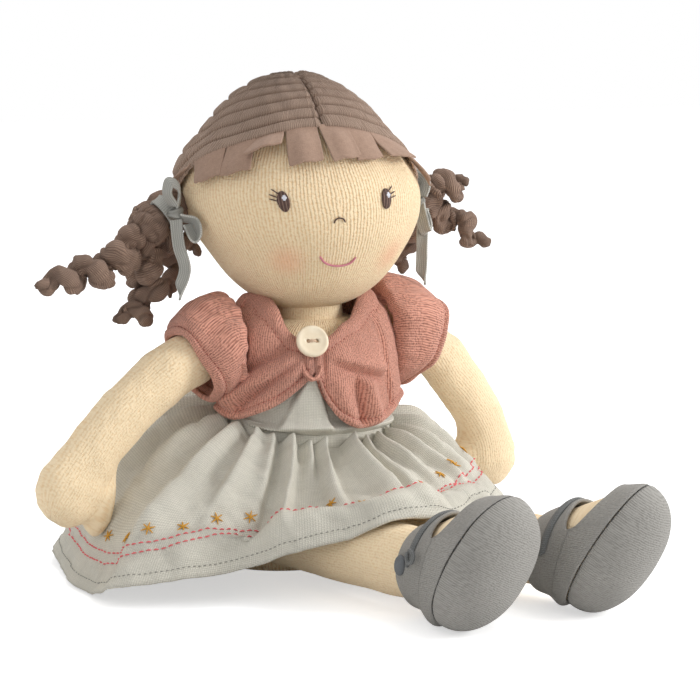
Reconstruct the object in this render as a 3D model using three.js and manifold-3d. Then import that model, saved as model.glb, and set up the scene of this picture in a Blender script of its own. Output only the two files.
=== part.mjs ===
// A soft rag doll that sits with its legs out: stuffed body, layered clothes, tied curls of cloth hair.
// Millimetres, +Z up. The face looks toward -Y and the doll's left side is +X.
// The origin is on the ground, in the middle of the flat seat.
import * as THREE from 'three';
import { mergeVertices } from 'three/addons/utils/BufferGeometryUtils.js';
import Module from 'manifold-3d';

const wasm = await Module();
wasm.setup();

// Cloth and seams
const seam = 0.3;
const looseSeam = 0.6;
const jersey = 1.4;
const linen = 1.2;
const velour = 2.4;
const overrun = 400;

// Torso
const torsoHeight = 115;
const torsoHalfWidth = 42;
const torsoHalfDepth = 34;
const torsoLean = 5;

// Head and neck
const headRadius = 55.5;
const chinGap = 4;
const headHeight = torsoHeight + chinGap + headRadius;
const headShift = -1.5;
const headDepthShare = 0.94;
const headYaw = -9;
const neckRadius = 16.5;
const neckRise = 7;
const neckTop = torsoHeight + neckRise;
const nodDrop = 2;
const nodHeight = torsoHeight - nodDrop;

// Arms
const shoulderOut = 48;
const shoulderDrop = 10;
const shoulderHeight = torsoHeight - shoulderDrop;
const armRadius = 12;
const armLength = 110;
const handHalfWidth = 16;
const handHalfDepth = 11.5;
const handLength = 34;
const thumbRadius = 6.8;
const thumbLength = 28;

// Legs and shoes
const hipOut = 22.5;
const hipForwardRight = 23;
const hipForwardLeft = 31;
const hipHeight = 21.5;
const hipRadius = 16.5;
const ankleRadius = 15.2;
const legLength = 131;
const legLift = 15;
const legDrop = 85;
const shoeHalfHeight = 31;
const shoeHalfWidth = 21.5;
const upperDepth = 33;
const soleDepth = 17;
const shoeLeather = 1.6;
const studRadius = 3.2;

// Dress
const bodiceEase = 1.1;
const waistHeight = 61;
const waistFrontDip = 5;
const waistSideDip = 3.5;
const waistbandHeight = 9;
const skirtReach = 120;
const foldDepth = 2.4;
const foldCount = 12;

// Jacket
const sleeveRadiusRight = 21.5;
const sleeveReachRight = 18;
const sleeveRadiusLeft = 25;
const sleeveReachLeft = 15;
const armholeOut = 41.5;
const backHem = 77;
const buttonRadius = 7.4;
const buttonThick = 2.6;
const buttonHole = 0.9;
const loopRadius = 4.2;
const loopThread = 1.1;

// Hair
const pleatCount = 8;
const pleatLip = 0.9;
const capEase = 1.1;
const fringeThick = 1.1;
const fringeRoot = 3;
const bunchRadius = 7.5;
const bunchLength = 26;
const curlTube = 4.7;
const curlCoil = 4.8;
const curlPitch = 15;
const ribbonWidth = 7;
const ribbonThick = 1.1;

// Face
const eyeHalfWidth = 2.8;
const eyeHalfHeight = 4.7;
const stitchThick = 0.7;
const noseHalfWidth = 2.9;
const mouthHalfWidth = 8.6;
const mouthThread = 0.7;

// How finely the round shapes are divided
const torsoColumns = 36;
const coreColumns = 24;
const headColumns = 24;
const limbSides = 12;
const sleeveSides = 16;
const skirtColumns = 60;
const shoeColumns = 16;
const curlSides = 5;
const curlSteps = 8;

const finish = (color, roughness) => new THREE.MeshStandardMaterial({ color, roughness, metalness: 0 });
const finishes = {
  skin: finish(0xf0cfa2, 0.92),
  innerBody: finish(0xe9dcc6, 0.95),
  linen: finish(0xb3b2a8, 0.9),
  velour: finish(0xc48474, 0.95),
  hair: finish(0x7a6256, 0.93),
  fringe: finish(0x85695c, 0.95),
  ribbon: finish(0xa3a7a2, 0.9),
  shoe: finish(0x84847f, 0.92),
  strap: finish(0x77797a, 0.92),
  shell: finish(0xe2cdb0, 0.35),
  thread: finish(0xd8b9a0, 0.8),
  eye: finish(0x4a3530, 0.5),
  mouth: finish(0xc47f8d, 0.7),
};

const doll = new THREE.Group();

// Adds a named piece to the doll.
function place(name, geometry, material) {
  const piece = new THREE.Mesh(geometry, material);
  piece.name = name;
  doll.add(piece);
}

const radians = THREE.MathUtils.degToRad;
const point = (x, y, z) => new THREE.Vector3(x, y, z);
const up = point(0, 0, 1);
const sides = [['right', -1], ['left', 1]];

// A smooth curve through rows of [position, ...values].
function smoothTable(rows) {
  const slope = (i, k) => {
    const before = rows[Math.max(i - 1, 0)];
    const after = rows[Math.min(i + 1, rows.length - 1)];
    return (after[k] - before[k]) / (after[0] - before[0]);
  };
  return (at) => {
    const found = rows.findIndex((row) => row[0] >= at);
    const i = found < 0 ? rows.length - 1 : Math.max(found, 1);
    const low = rows[i - 1];
    const high = rows[i];
    const span = high[0] - low[0];
    const u = THREE.MathUtils.clamp((at - low[0]) / span, 0, 1);
    return low.slice(1).map((value, column) => {
      const k = column + 1;
      const u2 = u * u;
      const u3 = u2 * u;
      return value * (2 * u3 - 3 * u2 + 1) + high[k] * (3 * u2 - 2 * u3)
        + span * (slope(i - 1, k) * (u3 - 2 * u2 + u) + slope(i, k) * (u3 - u2));
    });
  };
}

// The same, for a table that repeats after a full turn.
function roundTable(rows) {
  const turned = (row, by) => [row[0] + by, ...row.slice(1)];
  const last = rows.slice(-2).map((row) => turned(row, -360));
  const first = rows.slice(0, 2).map((row) => turned(row, 360));
  const table = smoothTable([...last, ...rows, ...first]);
  const start = rows[0][0];
  return (turn) => table(start + THREE.MathUtils.euclideanModulo(turn - start, 360));
}

// One closed body from points and triangles, with its faces turned outward.
function body(points, triangles) {
  const volume = triangles.reduce((sum, [a, b, c]) => (
    sum + points[a].dot(point(0, 0, 0).crossVectors(points[b], points[c]))
  ), 0);
  const order = volume < 0 ? triangles.map(([a, b, c]) => [a, c, b]) : triangles;
  const geometry = new THREE.BufferGeometry();
  geometry.setAttribute('position', new THREE.Float32BufferAttribute(points.flatMap((p) => p.toArray()), 3));
  geometry.setIndex(order.flat());
  geometry.computeVertexNormals();
  return geometry;
}

// A closed body through rings of points, with a point in the middle of each end.
function loft(rings) {
  const count = rings[0].length;
  const points = [...rings.flat(), middleOf(rings[0]), middleOf(rings.at(-1))];
  const triangles = [];
  rings.forEach((ring, i) => {
    for (let j = 0; j < count; j += 1) {
      const next = (j + 1) % count;
      if (i === 0) {
        triangles.push([points.length - 2, next, j]);
      } else {
        const a = (i - 1) * count;
        const b = i * count;
        triangles.push([a + j, a + next, b + next], [a + j, b + next, b + j]);
      }
      if (i === rings.length - 1) {
        triangles.push([points.length - 1, i * count + j, i * count + next]);
      }
    }
  });
  return body(points, triangles);
}

// A closed sheet between an outer and an inner grid; a wrapped one joins its last column to its first.
function sheet(outer, inner, wrapped) {
  const rows = outer.length;
  const columns = outer[0].length;
  const points = [...outer.flat(), ...inner.flat()];
  const half = rows * columns;
  const triangles = [];
  const quad = (a, b, c, d) => triangles.push([a, b, c], [a, c, d]);
  const at = (i, j) => i * columns + (j % columns);
  const lastColumn = wrapped ? columns : columns - 1;
  for (let i = 0; i < rows - 1; i += 1) {
    for (let j = 0; j < lastColumn; j += 1) {
      quad(at(i, j), at(i, j + 1), at(i + 1, j + 1), at(i + 1, j));
      quad(half + at(i, j), half + at(i + 1, j), half + at(i + 1, j + 1), half + at(i, j + 1));
    }
    if (!wrapped) {
      quad(at(i, 0), at(i + 1, 0), half + at(i + 1, 0), half + at(i, 0));
      const end = columns - 1;
      quad(at(i, end), half + at(i, end), half + at(i + 1, end), at(i + 1, end));
    }
  }
  for (let j = 0; j < lastColumn; j += 1) {
    const top = rows - 1;
    quad(at(0, j), half + at(0, j), half + at(0, j + 1), at(0, j + 1));
    quad(at(top, j), at(top, j + 1), half + at(top, j + 1), half + at(top, j));
  }
  return body(points, triangles);
}

// Joining and cutting
function solidOf(geometry) {
  const bare = geometry.clone();
  bare.deleteAttribute('normal');
  bare.deleteAttribute('uv');
  const merged = mergeVertices(bare);
  return new wasm.Manifold(new wasm.Mesh({
    numProp: 3,
    vertProperties: Float32Array.from(merged.attributes.position.array),
    triVerts: Uint32Array.from(merged.index.array),
  }));
}

function geometryOf(solid) {
  const mesh = solid.getMesh();
  const geometry = new THREE.BufferGeometry();
  geometry.setAttribute('position', new THREE.BufferAttribute(Float32Array.from(mesh.vertProperties), 3));
  geometry.setIndex(new THREE.BufferAttribute(Uint32Array.from(mesh.triVerts), 1));
  geometry.computeVertexNormals();
  return geometry;
}

const join = (...parts) => geometryOf(parts.map(solidOf).reduce((whole, part) => whole.add(part)));
const cut = (first, ...tools) => geometryOf(
  tools.reduce((whole, tool) => whole.subtract(solidOf(tool)), solidOf(first)),
);

// Everything on the far side of a plane, as a large block.
function beyond(origin, direction) {
  const block = new THREE.BoxGeometry(overrun, overrun, overrun);
  block.translate(0, 0, overrun / 2);
  block.applyQuaternion(new THREE.Quaternion().setFromUnitVectors(up, direction.clone().normalize()));
  return block.translate(origin.x, origin.y, origin.z);
}

function ball(centre, radius, sides = limbSides) {
  return new THREE.SphereGeometry(radius, sides, sides / 2).rotateX(Math.PI / 2)
    .translate(centre.x, centre.y, centre.z);
}

// The hollow in which a ball turns, with finer faces so that none of them touches the ball.
const socket = (centre, radius) => ball(centre, radius + looseSeam, 2 * limbSides);

// Rings round a path; each row is [position on the path, half width, half depth] with the width along across.
function ringsRound(path, rows, across, count) {
  return rows.map(([at, halfWidth, halfDepth]) => {
    const middle = path.getPointAt(at);
    const along = path.getTangentAt(at);
    const depthWay = point(0, 0, 0).crossVectors(along, across).normalize();
    const widthWay = point(0, 0, 0).crossVectors(depthWay, along).normalize();
    return Array.from({ length: count }, (_, j) => {
      const turn = (2 * Math.PI * j) / count;
      return middle.clone()
        .addScaledVector(widthWay, halfWidth * Math.cos(turn))
        .addScaledVector(depthWay, halfDepth * Math.sin(turn));
    });
  });
}

const limb = (path, rows, across, count) => loft(ringsRound(path, rows, across, count));
const middleOf = (ring) => ring.reduce((sum, p) => sum.add(p), point(0, 0, 0)).divideScalar(ring.length);

// The same rings with one more ring past each end, for cutting a hollow right through.
function throughEnds(rings, by) {
  const past = (end, next) => {
    const way = middleOf(end).sub(middleOf(next)).setLength(by);
    return end.map((p) => p.clone().add(way));
  };
  return [past(rings[0], rings[1]), ...rings, past(rings.at(-1), rings.at(-2))];
}

// A flat band of cloth along a path, as wide as given along across.
function band(path, across, width, thick, steps) {
  const wide = across.clone().normalize();
  return loft(Array.from({ length: steps + 1 }, (_, i) => {
    const middle = path.getPointAt(i / steps);
    const out = point(0, 0, 0).crossVectors(path.getTangentAt(i / steps), wide).normalize();
    return [[1, 1], [-1, 1], [-1, -1], [1, -1]].map(([w, t]) => middle.clone()
      .addScaledVector(wide, (w * width) / 2)
      .addScaledVector(out, (t * thick) / 2));
  }));
}

// Torso surface: height, half width, half depth and set back, each a share of the torso's own size
const torsoShares = [
  [0, 0.84, 0.8, 0.12],
  [0.06, 0.94, 0.91, 0.1],
  [0.17, 1, 0.99, 0.06],
  [0.33, 1, 1, 0],
  [0.5, 0.93, 0.94, 0],
  [0.6, 0.9, 0.91, 0],
  [0.74, 0.9, 0.88, 0],
  [0.86, 0.88, 0.83, 0],
  [0.93, 0.8, 0.73, 0],
  [0.975, 0.6, 0.59, 0],
  [1, 0.42, 0.48, 0],
];
const torsoSize = smoothTable(torsoShares);
const nudgeShare = 0.002;

// A point on the torso, at a share of its height and a turn from the front toward the left, raised by grow.
function torsoPoint(share, turn, grow = 0) {
  const at = (height, angle) => {
    const [width, depth, back] = torsoSize(height);
    return point(
      width * torsoHalfWidth * Math.sin(angle) + torsoLean * height,
      back * torsoHalfDepth - depth * torsoHalfDepth * Math.cos(angle),
      height * torsoHeight,
    );
  };
  const angle = radians(turn);
  const here = at(share, angle);
  const low = Math.max(share - nudgeShare, 0);
  const high = Math.min(share + nudgeShare, 1);
  const climb = at(high, angle).sub(at(low, angle));
  const round = at(share, angle + nudgeShare).sub(at(share, angle - nudgeShare));
  return here.addScaledVector(round.cross(climb).normalize(), grow);
}

const turnsRound = (count) => Array.from({ length: count }, (_, j) => (360 * j) / count);
const turnsBetween = (from, to) => {
  const count = Math.round(((to - from) * torsoColumns) / 360);
  return Array.from({ length: count + 1 }, (_, j) => from + ((to - from) * j) / count);
};

// A sheet on the torso; low, high and lift give the share, and how far it stands off, for each turn.
function torsoSheet(turns, rows, low, high, lift, thick, wrapped) {
  const grid = (extra) => Array.from({ length: rows + 1 }, (_, i) => turns.map((turn) => {
    const share = THREE.MathUtils.lerp(low(turn), high(turn), i / rows);
    return torsoPoint(share, turn, lift(turn, i / rows) + extra);
  }));
  return sheet(grid(thick), grid(0), wrapped);
}

// Shoulders and hips
const sleeves = {
  right: { radius: sleeveRadiusRight, reach: sleeveReachRight },
  left: { radius: sleeveRadiusLeft, reach: sleeveReachLeft },
};
const shoulderOf = (side) => point(side * shoulderOut + torsoLean, 0, shoulderHeight);
const hipForwards = { right: hipForwardRight, left: hipForwardLeft };
const hipOf = (side) => point((side === 'left' ? 1 : -1) * hipOut, -hipForwards[side], hipHeight);

// Room in which a leg swings: it opens forward and down from the hip, from the middle out to one side.
function legRoom(side) {
  const reach = hipRadius + looseSeam;
  const rise = radians(90 - legLift);
  const fall = radians(90 - legDrop);
  const outline = new THREE.Shape();
  const hip = hipOf(side);
  const upperY = hip.y + reach * Math.cos(rise);
  const upperZ = hip.z + reach * Math.sin(rise);
  outline.moveTo(upperY - overrun * Math.sin(rise), upperZ + overrun * Math.cos(rise));
  outline.lineTo(upperY, upperZ);
  outline.absarc(hip.y, hip.z, reach, rise, -fall, true);
  outline.lineTo(hip.y + reach * Math.cos(fall), -overrun);
  outline.lineTo(upperY - overrun * Math.sin(rise), -overrun);
  const room = new THREE.ExtrudeGeometry(outline, {
    depth: overrun, bevelEnabled: false, curveSegments: limbSides,
  });
  const axes = new THREE.Matrix4().makeBasis(point(0, 1, 0), up, point(1, 0, 0));
  return room.applyMatrix4(axes).translate(side === 'left' ? 0 : -overrun, 0, 0);
}

const neckCentre = point(torsoLean, 0, nodHeight);
const torsoRings = torsoShares.map(([share]) => (
  turnsRound(coreColumns).map((turn) => torsoPoint(share, turn))
));
place('torso', cut(
  loft(torsoRings),
  legRoom('right'),
  legRoom('left'),
  socket(shoulderOf(-1), armRadius),
  socket(shoulderOf(1), armRadius),
  socket(neckCentre, neckRadius),
), finishes.innerBody);

// Neck: a short column that rocks in the hollow on top of the torso
const neckPath = new THREE.LineCurve3(neckCentre, point(torsoLean, 0, neckTop));
const neckShares = [[0, 0.98, 0.98], [0.5, 0.96, 0.96], [1, 0.9, 0.9]];
const neckColumn = limb(
  neckPath, neckShares.map(([at, w, d]) => [at, w * neckRadius, d * neckRadius]), point(1, 0, 0), limbSides,
);
place('neck', cut(
  join(neckColumn, ball(neckCentre, neckRadius)), beyond(neckCentre.clone().setZ(neckTop), up),
), finishes.skin);

// Head surface: the polar angle from the chin, the radius there and the lean to the doll's right, as shares
const headShares = [
  [0, 1.02, -0.1], [20, 1.02, -0.1], [36, 1, -0.1], [58, 0.975, -0.095], [76, 1, -0.06], [90, 1, -0.03],
  [105, 0.93, 0], [123, 0.845, 0.01], [146, 0.85, 0.02], [180, 0.9, 0.03],
];
const headSize = smoothTable(headShares);
const headCentre = point(headShift, 0, headHeight);
const faceWay = new THREE.Quaternion().setFromAxisAngle(up, radians(headYaw));

// A point on the head at a polar angle and a turn from the face toward the left, raised by grow.
function headPoint(polar, turn, grow = 0) {
  const [share, leanShare] = headSize(polar);
  const angle = radians(polar);
  const round = radians(turn);
  const way = point(
    Math.sin(angle) * Math.sin(round),
    -headDepthShare * Math.sin(angle) * Math.cos(round),
    -Math.cos(angle),
  );
  const out = point(way.x, way.y / headDepthShare ** 2, way.z).normalize();
  way.multiplyScalar(share * headRadius).addScaledVector(out, grow).applyQuaternion(faceWay);
  return way.add(headCentre).addScaledVector(point(-1, 0, 0), leanShare * headRadius);
}

const headRows = 17;
const headPolars = Array.from({ length: headRows }, (_, i) => (180 * (i + 1)) / (headRows + 1));
const headRings = (grow) => headPolars.map((polar) => (
  turnsRound(headColumns).map((turn) => headPoint(polar, turn, grow))
));
const neckHollow = new THREE.CylinderGeometry(neckRadius + seam, neckRadius + seam, overrun, 2 * limbSides)
  .rotateX(Math.PI / 2).translate(torsoLean, 0, neckTop + seam - overrun / 2);
place('head', cut(loft(headRings(0)), neckHollow), finishes.skin);

// Face: padded eyes, a thread nose and a thread mouth
const eyePolar = 87;
const eyeTurn = 26;
for (const [side, way] of sides) {
  const ring = (share, grow) => turnsRound(limbSides).map((turn) => {
    const angle = radians(turn);
    const across = THREE.MathUtils.radToDeg((share * eyeHalfWidth * Math.cos(angle)) / headRadius);
    const climb = THREE.MathUtils.radToDeg((share * eyeHalfHeight * Math.sin(angle)) / headRadius);
    return headPoint(eyePolar + climb, way * eyeTurn + across, grow);
  });
  place(`eye_${side}`, loft([
    ring(1, seam), ring(1, seam + stitchThick / 2), ring(0.6, seam + stitchThick),
  ]), finishes.eye);
}

// A thread laid on the head through [polar, turn] points.
function faceThread(places, radius) {
  const onFace = ([polar, turn]) => headPoint(polar, turn, seam + radius);
  const path = new THREE.CatmullRomCurve3(places.map(onFace));
  const section = new THREE.Shape().absarc(0, 0, radius, 0, 2 * Math.PI);
  return new THREE.ExtrudeGeometry(section, {
    extrudePath: path, steps: 3 * places.length, curveSegments: 3, bevelEnabled: false,
  });
}

const nosePolar = 78;
const mouthPolar = 56;
const degreesOnHead = (length) => THREE.MathUtils.radToDeg(length / headRadius);
const noseSpread = degreesOnHead(noseHalfWidth);
const mouthSpread = degreesOnHead(mouthHalfWidth) / Math.sin(radians(mouthPolar));
const mouthSag = degreesOnHead(mouthHalfWidth / 4);
place('nose_stitch', faceThread([
  [nosePolar - noseSpread / 2, -noseSpread],
  [nosePolar + noseSpread / 4, 0],
  [nosePolar - noseSpread / 3, noseSpread],
], stitchThick / 2), finishes.eye);
place('mouth_stitch', faceThread([
  [mouthPolar + mouthSag, -mouthSpread],
  [mouthPolar - mouthSag, -mouthSpread / 3],
  [mouthPolar - mouthSag, mouthSpread / 3],
  [mouthPolar + mouthSag, mouthSpread],
], mouthThread), finishes.mouth);

// Arms with mitten hands: each bows outward and down from its shoulder, through shares of its length
const armShares = {
  right: [[0, 0, 0], [-0.31, -0.02, -0.155], [-0.555, -0.036, -0.377], [-0.765, -0.055, -0.66]],
  left: [
    [0, 0, 0], [0.14, 0, -0.04], [0.267, 0.036, -0.18], [0.52, 0.145, -0.44], [0.61, 0.218, -0.66],
    [0.624, 0.218, -0.78],
  ],
};
const armPath = (side, way) => new THREE.CatmullRomCurve3(armShares[side].map(([x, y, z]) => (
  point(x, y, z).multiplyScalar(armLength).add(shoulderOf(way))
)));
const armRowShares = [[0, 0.96, 0.96], [0.25, 1.04, 1], [0.48, 1.04, 0.98], [0.64, 1, 0.92]];
const handRowShares = [
  [0.2, 0.84, 0.9], [0.48, 1, 1], [0.74, 0.92, 0.92], [0.92, 0.6, 0.6], [0.99, 0.26, 0.3],
];
const thumbRowShares = [[0, 0.8], [0.4, 1], [0.75, 0.95], [0.93, 0.6], [1, 0.25]];
const thumbRootShare = 0.5;
const thumbSpreadShare = 0.95;
for (const [side, way] of sides) {
  const shoulder = shoulderOf(way);
  const path = armPath(side, way);
  const handStart = 1 - handLength / path.getLength();
  const along = path.getTangentAt(handStart);
  const inward = point(0, 0, 0).crossVectors(along, point(0, way, 0)).normalize();
  const rows = [
    ...armRowShares.map(([at, w, d]) => [at, w * armRadius, d * armRadius]),
    ...handRowShares.map(([at, w, d]) => [
      THREE.MathUtils.lerp(handStart, 1, at), w * handHalfWidth, d * handHalfDepth,
    ]),
  ];
  const thumbStart = path.getPointAt(handStart).addScaledVector(inward, -handHalfWidth * thumbRootShare);
  const thumbEnd = thumbStart.clone().addScaledVector(along, thumbLength)
    .addScaledVector(inward, -handHalfWidth * thumbSpreadShare);
  const thumbRows = thumbRowShares.map(([at, share]) => [at, share * thumbRadius, share * thumbRadius]);
  place(`arm_${side}`, join(
    limb(path, rows, inward, limbSides),
    ball(shoulder, armRadius),
    limb(new THREE.LineCurve3(thumbStart, thumbEnd), thumbRows, inward, limbSides - 2),
  ), finishes.skin);
}

// Feet and shoes: each foot stands across the end of its leg, sole forward and toe leaning
const legYaws = { right: 10, left: 19 };
const footYaws = { right: 28, left: 36 };
const footPitches = { right: 25, left: 31 };
const footRolls = { right: 24, left: 12 };
const wayAt = (yaw) => point(Math.sin(radians(yaw)), -Math.cos(radians(yaw)), 0);
const legForward = (side) => wayAt(legYaws[side]);

// Shoe: the place along it, -1 at the ankle, 0 at the sole's seam and 1 at the front of the sole, then the
// half height and half width there as shares
const shoeShares = [
  [-1, 0.57, 0.81], [-0.66, 0.69, 0.88], [-0.33, 0.89, 0.96], [0, 1, 1],
  [0.45, 0.94, 0.94], [0.78, 0.74, 0.74], [1, 0.36, 0.36],
];
const strapPlaces = [-0.86, -0.64];
const strapReach = 90;
const studTurn = 78;
const mouthPlace = -0.42;
const mouthWidthShare = 0.66;
const mouthDepthShare = 0.2;

function shoeShareAt(at) {
  const high = Math.max(shoeShares.findIndex(([place]) => place >= at), 1);
  const [below, lowHeight, lowWidth] = shoeShares[high - 1];
  const [above, highHeight, highWidth] = shoeShares[high];
  const u = (at - below) / (above - below);
  return [THREE.MathUtils.lerp(lowHeight, highHeight, u), THREE.MathUtils.lerp(lowWidth, highWidth, u)];
}

for (const [side, way] of sides) {
  const hip = hipOf(side);
  const forward = legForward(side);
  const across = point(0, 0, 0).crossVectors(up, forward);
  const footWay = wayAt(footYaws[side]);
  const toe = up.clone()
    .addScaledVector(footWay, Math.tan(radians(footPitches[side])))
    .addScaledVector(point(0, 0, 0).crossVectors(up, footWay), Math.tan(radians(footRolls[side])))
    .normalize();
  const sole = footWay.clone().addScaledVector(toe, -footWay.dot(toe)).normalize();
  const ankle = hip.clone().addScaledVector(forward, legLength - upperDepth);
  const seamMiddle = hip.clone().addScaledVector(forward, legLength);

  // A point on the shoe at a place along it and a turn from the toe toward the doll's left.
  const shoePoint = (at, turn, grow) => {
    const [heightShare, widthShare] = shoeShareAt(at);
    const blend = Math.min(1 + at, 1);
    const long = up.clone().lerp(toe, blend).normalize();
    const ahead = forward.clone().lerp(sole, blend);
    const wide = point(0, 0, 0).crossVectors(long, ahead).normalize();
    const angle = radians(turn);
    return ankle.clone().lerp(seamMiddle, blend)
      .addScaledVector(sole, Math.max(at, 0) * soleDepth)
      .addScaledVector(long, (heightShare * shoeHalfHeight + grow) * Math.cos(angle))
      .addScaledVector(wide, (widthShare * shoeHalfWidth + grow) * Math.sin(angle));
  };
  const shoeRings = (from, to, grow) => shoeShares
    .filter(([at]) => at >= from && at <= to)
    .map(([at]) => turnsRound(shoeColumns).map((turn) => shoePoint(at, turn, grow)));
  seamMiddle.z -= Math.min(...shoeRings(0, 1, 0).flat().map((p) => p.z));
  place(`shoe_sole_${side}`, loft(shoeRings(0, 1, 0)), finishes.shoe);

  const short = (rings, by) => [
    ...rings.slice(0, -1), rings.at(-1).map((p) => p.clone().addScaledVector(sole, -by)),
  ];
  const legPath = new THREE.LineCurve3(hip, ankle.clone().addScaledVector(forward, 2 * shoeLeather));
  const leg = limb(legPath, [[0, hipRadius], [0.5, hipRadius], [1, ankleRadius]].map(([at, r]) => [at, r, r]),
    across, limbSides);
  const foot = loft(short(shoeRings(-1, 0, -shoeLeather - seam), seam));
  place(`leg_${side}`, join(leg, ball(hip, hipRadius), foot), finishes.skin);

  const mouth = new THREE.SphereGeometry(1, limbSides, limbSides / 2);
  const mouthDepth = shoeHalfHeight * mouthDepthShare;
  mouth.scale(shoeHalfWidth * mouthWidthShare, mouthDepth, mouthDepth);
  mouth.rotateZ(radians(footYaws[side]));
  const mouthMiddle = shoePoint(mouthPlace, 0, 0);
  mouth.translate(mouthMiddle.x, mouthMiddle.y, mouthMiddle.z);
  place(`shoe_upper_${side}`, cut(
    loft(short(shoeRings(-1, 0, 0), seam)),
    loft(throughEnds(shoeRings(-1, 0, -shoeLeather), shoeLeather)),
    mouth,
  ), finishes.shoe);

  const strapTurns = turnsRound(shoeColumns).map((turn) => turn - 180)
    .filter((turn) => Math.abs(turn) <= strapReach);
  const strapGrid = (grow) => strapPlaces.map((at) => strapTurns.map((turn) => shoePoint(at, turn, grow)));
  place(`shoe_strap_${side}`, sheet(
    strapGrid(looseSeam + shoeLeather), strapGrid(looseSeam), false,
  ), finishes.strap);

  const studPlace = (strapPlaces[0] + strapPlaces[1]) / 2;
  const studOn = (grow) => shoePoint(studPlace, way * studTurn, looseSeam + shoeLeather + grow);
  const stud = new THREE.LatheGeometry([[0, 0], [1, 0], [0.9, 0.33], [0, 0.5]].map(
    ([r, h]) => new THREE.Vector2(r * studRadius, h * studRadius),
  ), limbSides).rotateX(Math.PI / 2);
  const studWay = studOn(seam).sub(studOn(0)).normalize();
  const studBase = studOn(looseSeam);
  stud.applyQuaternion(new THREE.Quaternion().setFromUnitVectors(up, studWay));
  place(`shoe_stud_${side}`, stud.translate(studBase.x, studBase.y, studBase.z), finishes.strap);
}

// Dress: a sleeveless bodice, a waistband and a gathered skirt
const armOpening = (way) => socket(shoulderOf(way), armRadius);
const armRoom = (side, way) => {
  const radius = sleeves[side].radius + velour;
  return new THREE.CylinderGeometry(radius, radius, overrun, 2 * limbSides).rotateZ(Math.PI / 2)
    .translate(way * (armholeOut + overrun / 2) + torsoLean, 0, shoulderHeight);
};
const trimForArms = (piece) => cut(
  piece, ...sides.flatMap(([side, way]) => [armOpening(way), armRoom(side, way)]),
);
const waistAt = (turn) => (
  waistHeight - waistFrontDip * Math.cos(radians(turn)) - waistSideDip * Math.sin(radians(turn))
);
const shareAt = (height) => height / torsoHeight;
const bodiceTopShare = 0.955;
const bodiceRows = 8;
place('dress_bodice', trimForArms(torsoSheet(
  turnsRound(torsoColumns), bodiceRows, (turn) => shareAt(waistAt(turn)), () => bodiceTopShare,
  () => bodiceEase, linen, true,
)), finishes.linen);

const waistLift = bodiceEase + linen + seam;
place('dress_waistband', torsoSheet(
  turnsRound(torsoColumns), 1, (turn) => shareAt(waistAt(turn)),
  (turn) => shareAt(waistAt(turn) + waistbandHeight), () => waistLift, linen, true,
), finishes.linen);

// Skirt profile at each turn: five stations of [reach, height], as shares of the skirt's reach, from the
// waistband down to the hem
const skirtShares = [
  [-135, 0.52, 0.55, 0.68, 0.43, 0.82, 0.27, 0.88, 0.13, 0.93, 0.035],
  [-105, 0.5, 0.52, 0.67, 0.4, 0.82, 0.24, 0.9, 0.11, 0.95, 0.03],
  [-75, 0.48, 0.49, 0.66, 0.37, 0.83, 0.24, 0.91, 0.11, 0.975, 0.02],
  [-55, 0.44, 0.45, 0.58, 0.35, 0.7, 0.27, 0.78, 0.24, 0.86, 0.11],
  [-38, 0.4, 0.43, 0.5, 0.33, 0.6, 0.235, 0.7, 0.27, 0.75, 0.155],
  [-22, 0.38, 0.43, 0.49, 0.35, 0.61, 0.295, 0.72, 0.345, 0.79, 0.23],
  [-8, 0.38, 0.43, 0.52, 0.37, 0.66, 0.33, 0.79, 0.39, 0.88, 0.3],
  [10, 0.4, 0.435, 0.54, 0.38, 0.68, 0.34, 0.8, 0.39, 0.89, 0.31],
  [30, 0.42, 0.45, 0.54, 0.395, 0.66, 0.34, 0.75, 0.35, 0.82, 0.29],
  [55, 0.45, 0.47, 0.57, 0.4, 0.66, 0.335, 0.72, 0.3, 0.775, 0.24],
  [85, 0.48, 0.495, 0.6, 0.41, 0.69, 0.33, 0.74, 0.28, 0.79, 0.22],
  [110, 0.5, 0.51, 0.65, 0.41, 0.77, 0.27, 0.83, 0.17, 0.88, 0.09],
  [140, 0.52, 0.54, 0.68, 0.42, 0.82, 0.26, 0.88, 0.13, 0.93, 0.035],
  [180, 0.46, 0.56, 0.62, 0.43, 0.76, 0.26, 0.83, 0.13, 0.88, 0.04],
];
const skirtProfile = roundTable(skirtShares);
const skirtRowShares = [0.28, 0.5, 0.72, 0.88, 1];
const skirtTurns = turnsRound(skirtColumns);
const skirtTop = (turn, lift) => torsoPoint(shareAt(waistAt(turn) - looseSeam), turn, lift);
// The large folds that stand out or sink in toward the hem: turn, half width in degrees, and height as a
// share of the depth of the small folds
const skirtRidges = [[-71, 8, 2.9], [-91, 9, -2.1], [-51, 8, -1.7]];
const foldAt = (turn, fall) => foldDepth * Math.sqrt(fall) * Math.cos(radians(turn * foldCount))
  + skirtRidges.reduce((sum, [at, width, height]) => {
    const away = (turn > 180 ? turn - 360 : turn) - at;
    return sum + foldDepth * height * fall * fall * Math.exp(-(away * away) / (width * width));
  }, 0);

// Cloth that would pass through a leg lies on it instead.
function clearOfLegs(place) {
  const room = hipRadius + linen + 2 * looseSeam;
  for (const [side] of sides) {
    const hip = hipOf(side);
    const away = place.clone().sub(hip);
    const forward = legForward(side);
    away.addScaledVector(forward, -Math.max(away.dot(forward), 0));
    const short = room - away.length();
    if (short > 0) {
      place.addScaledVector(away.normalize(), short);
    }
  }
  return place;
}

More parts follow.
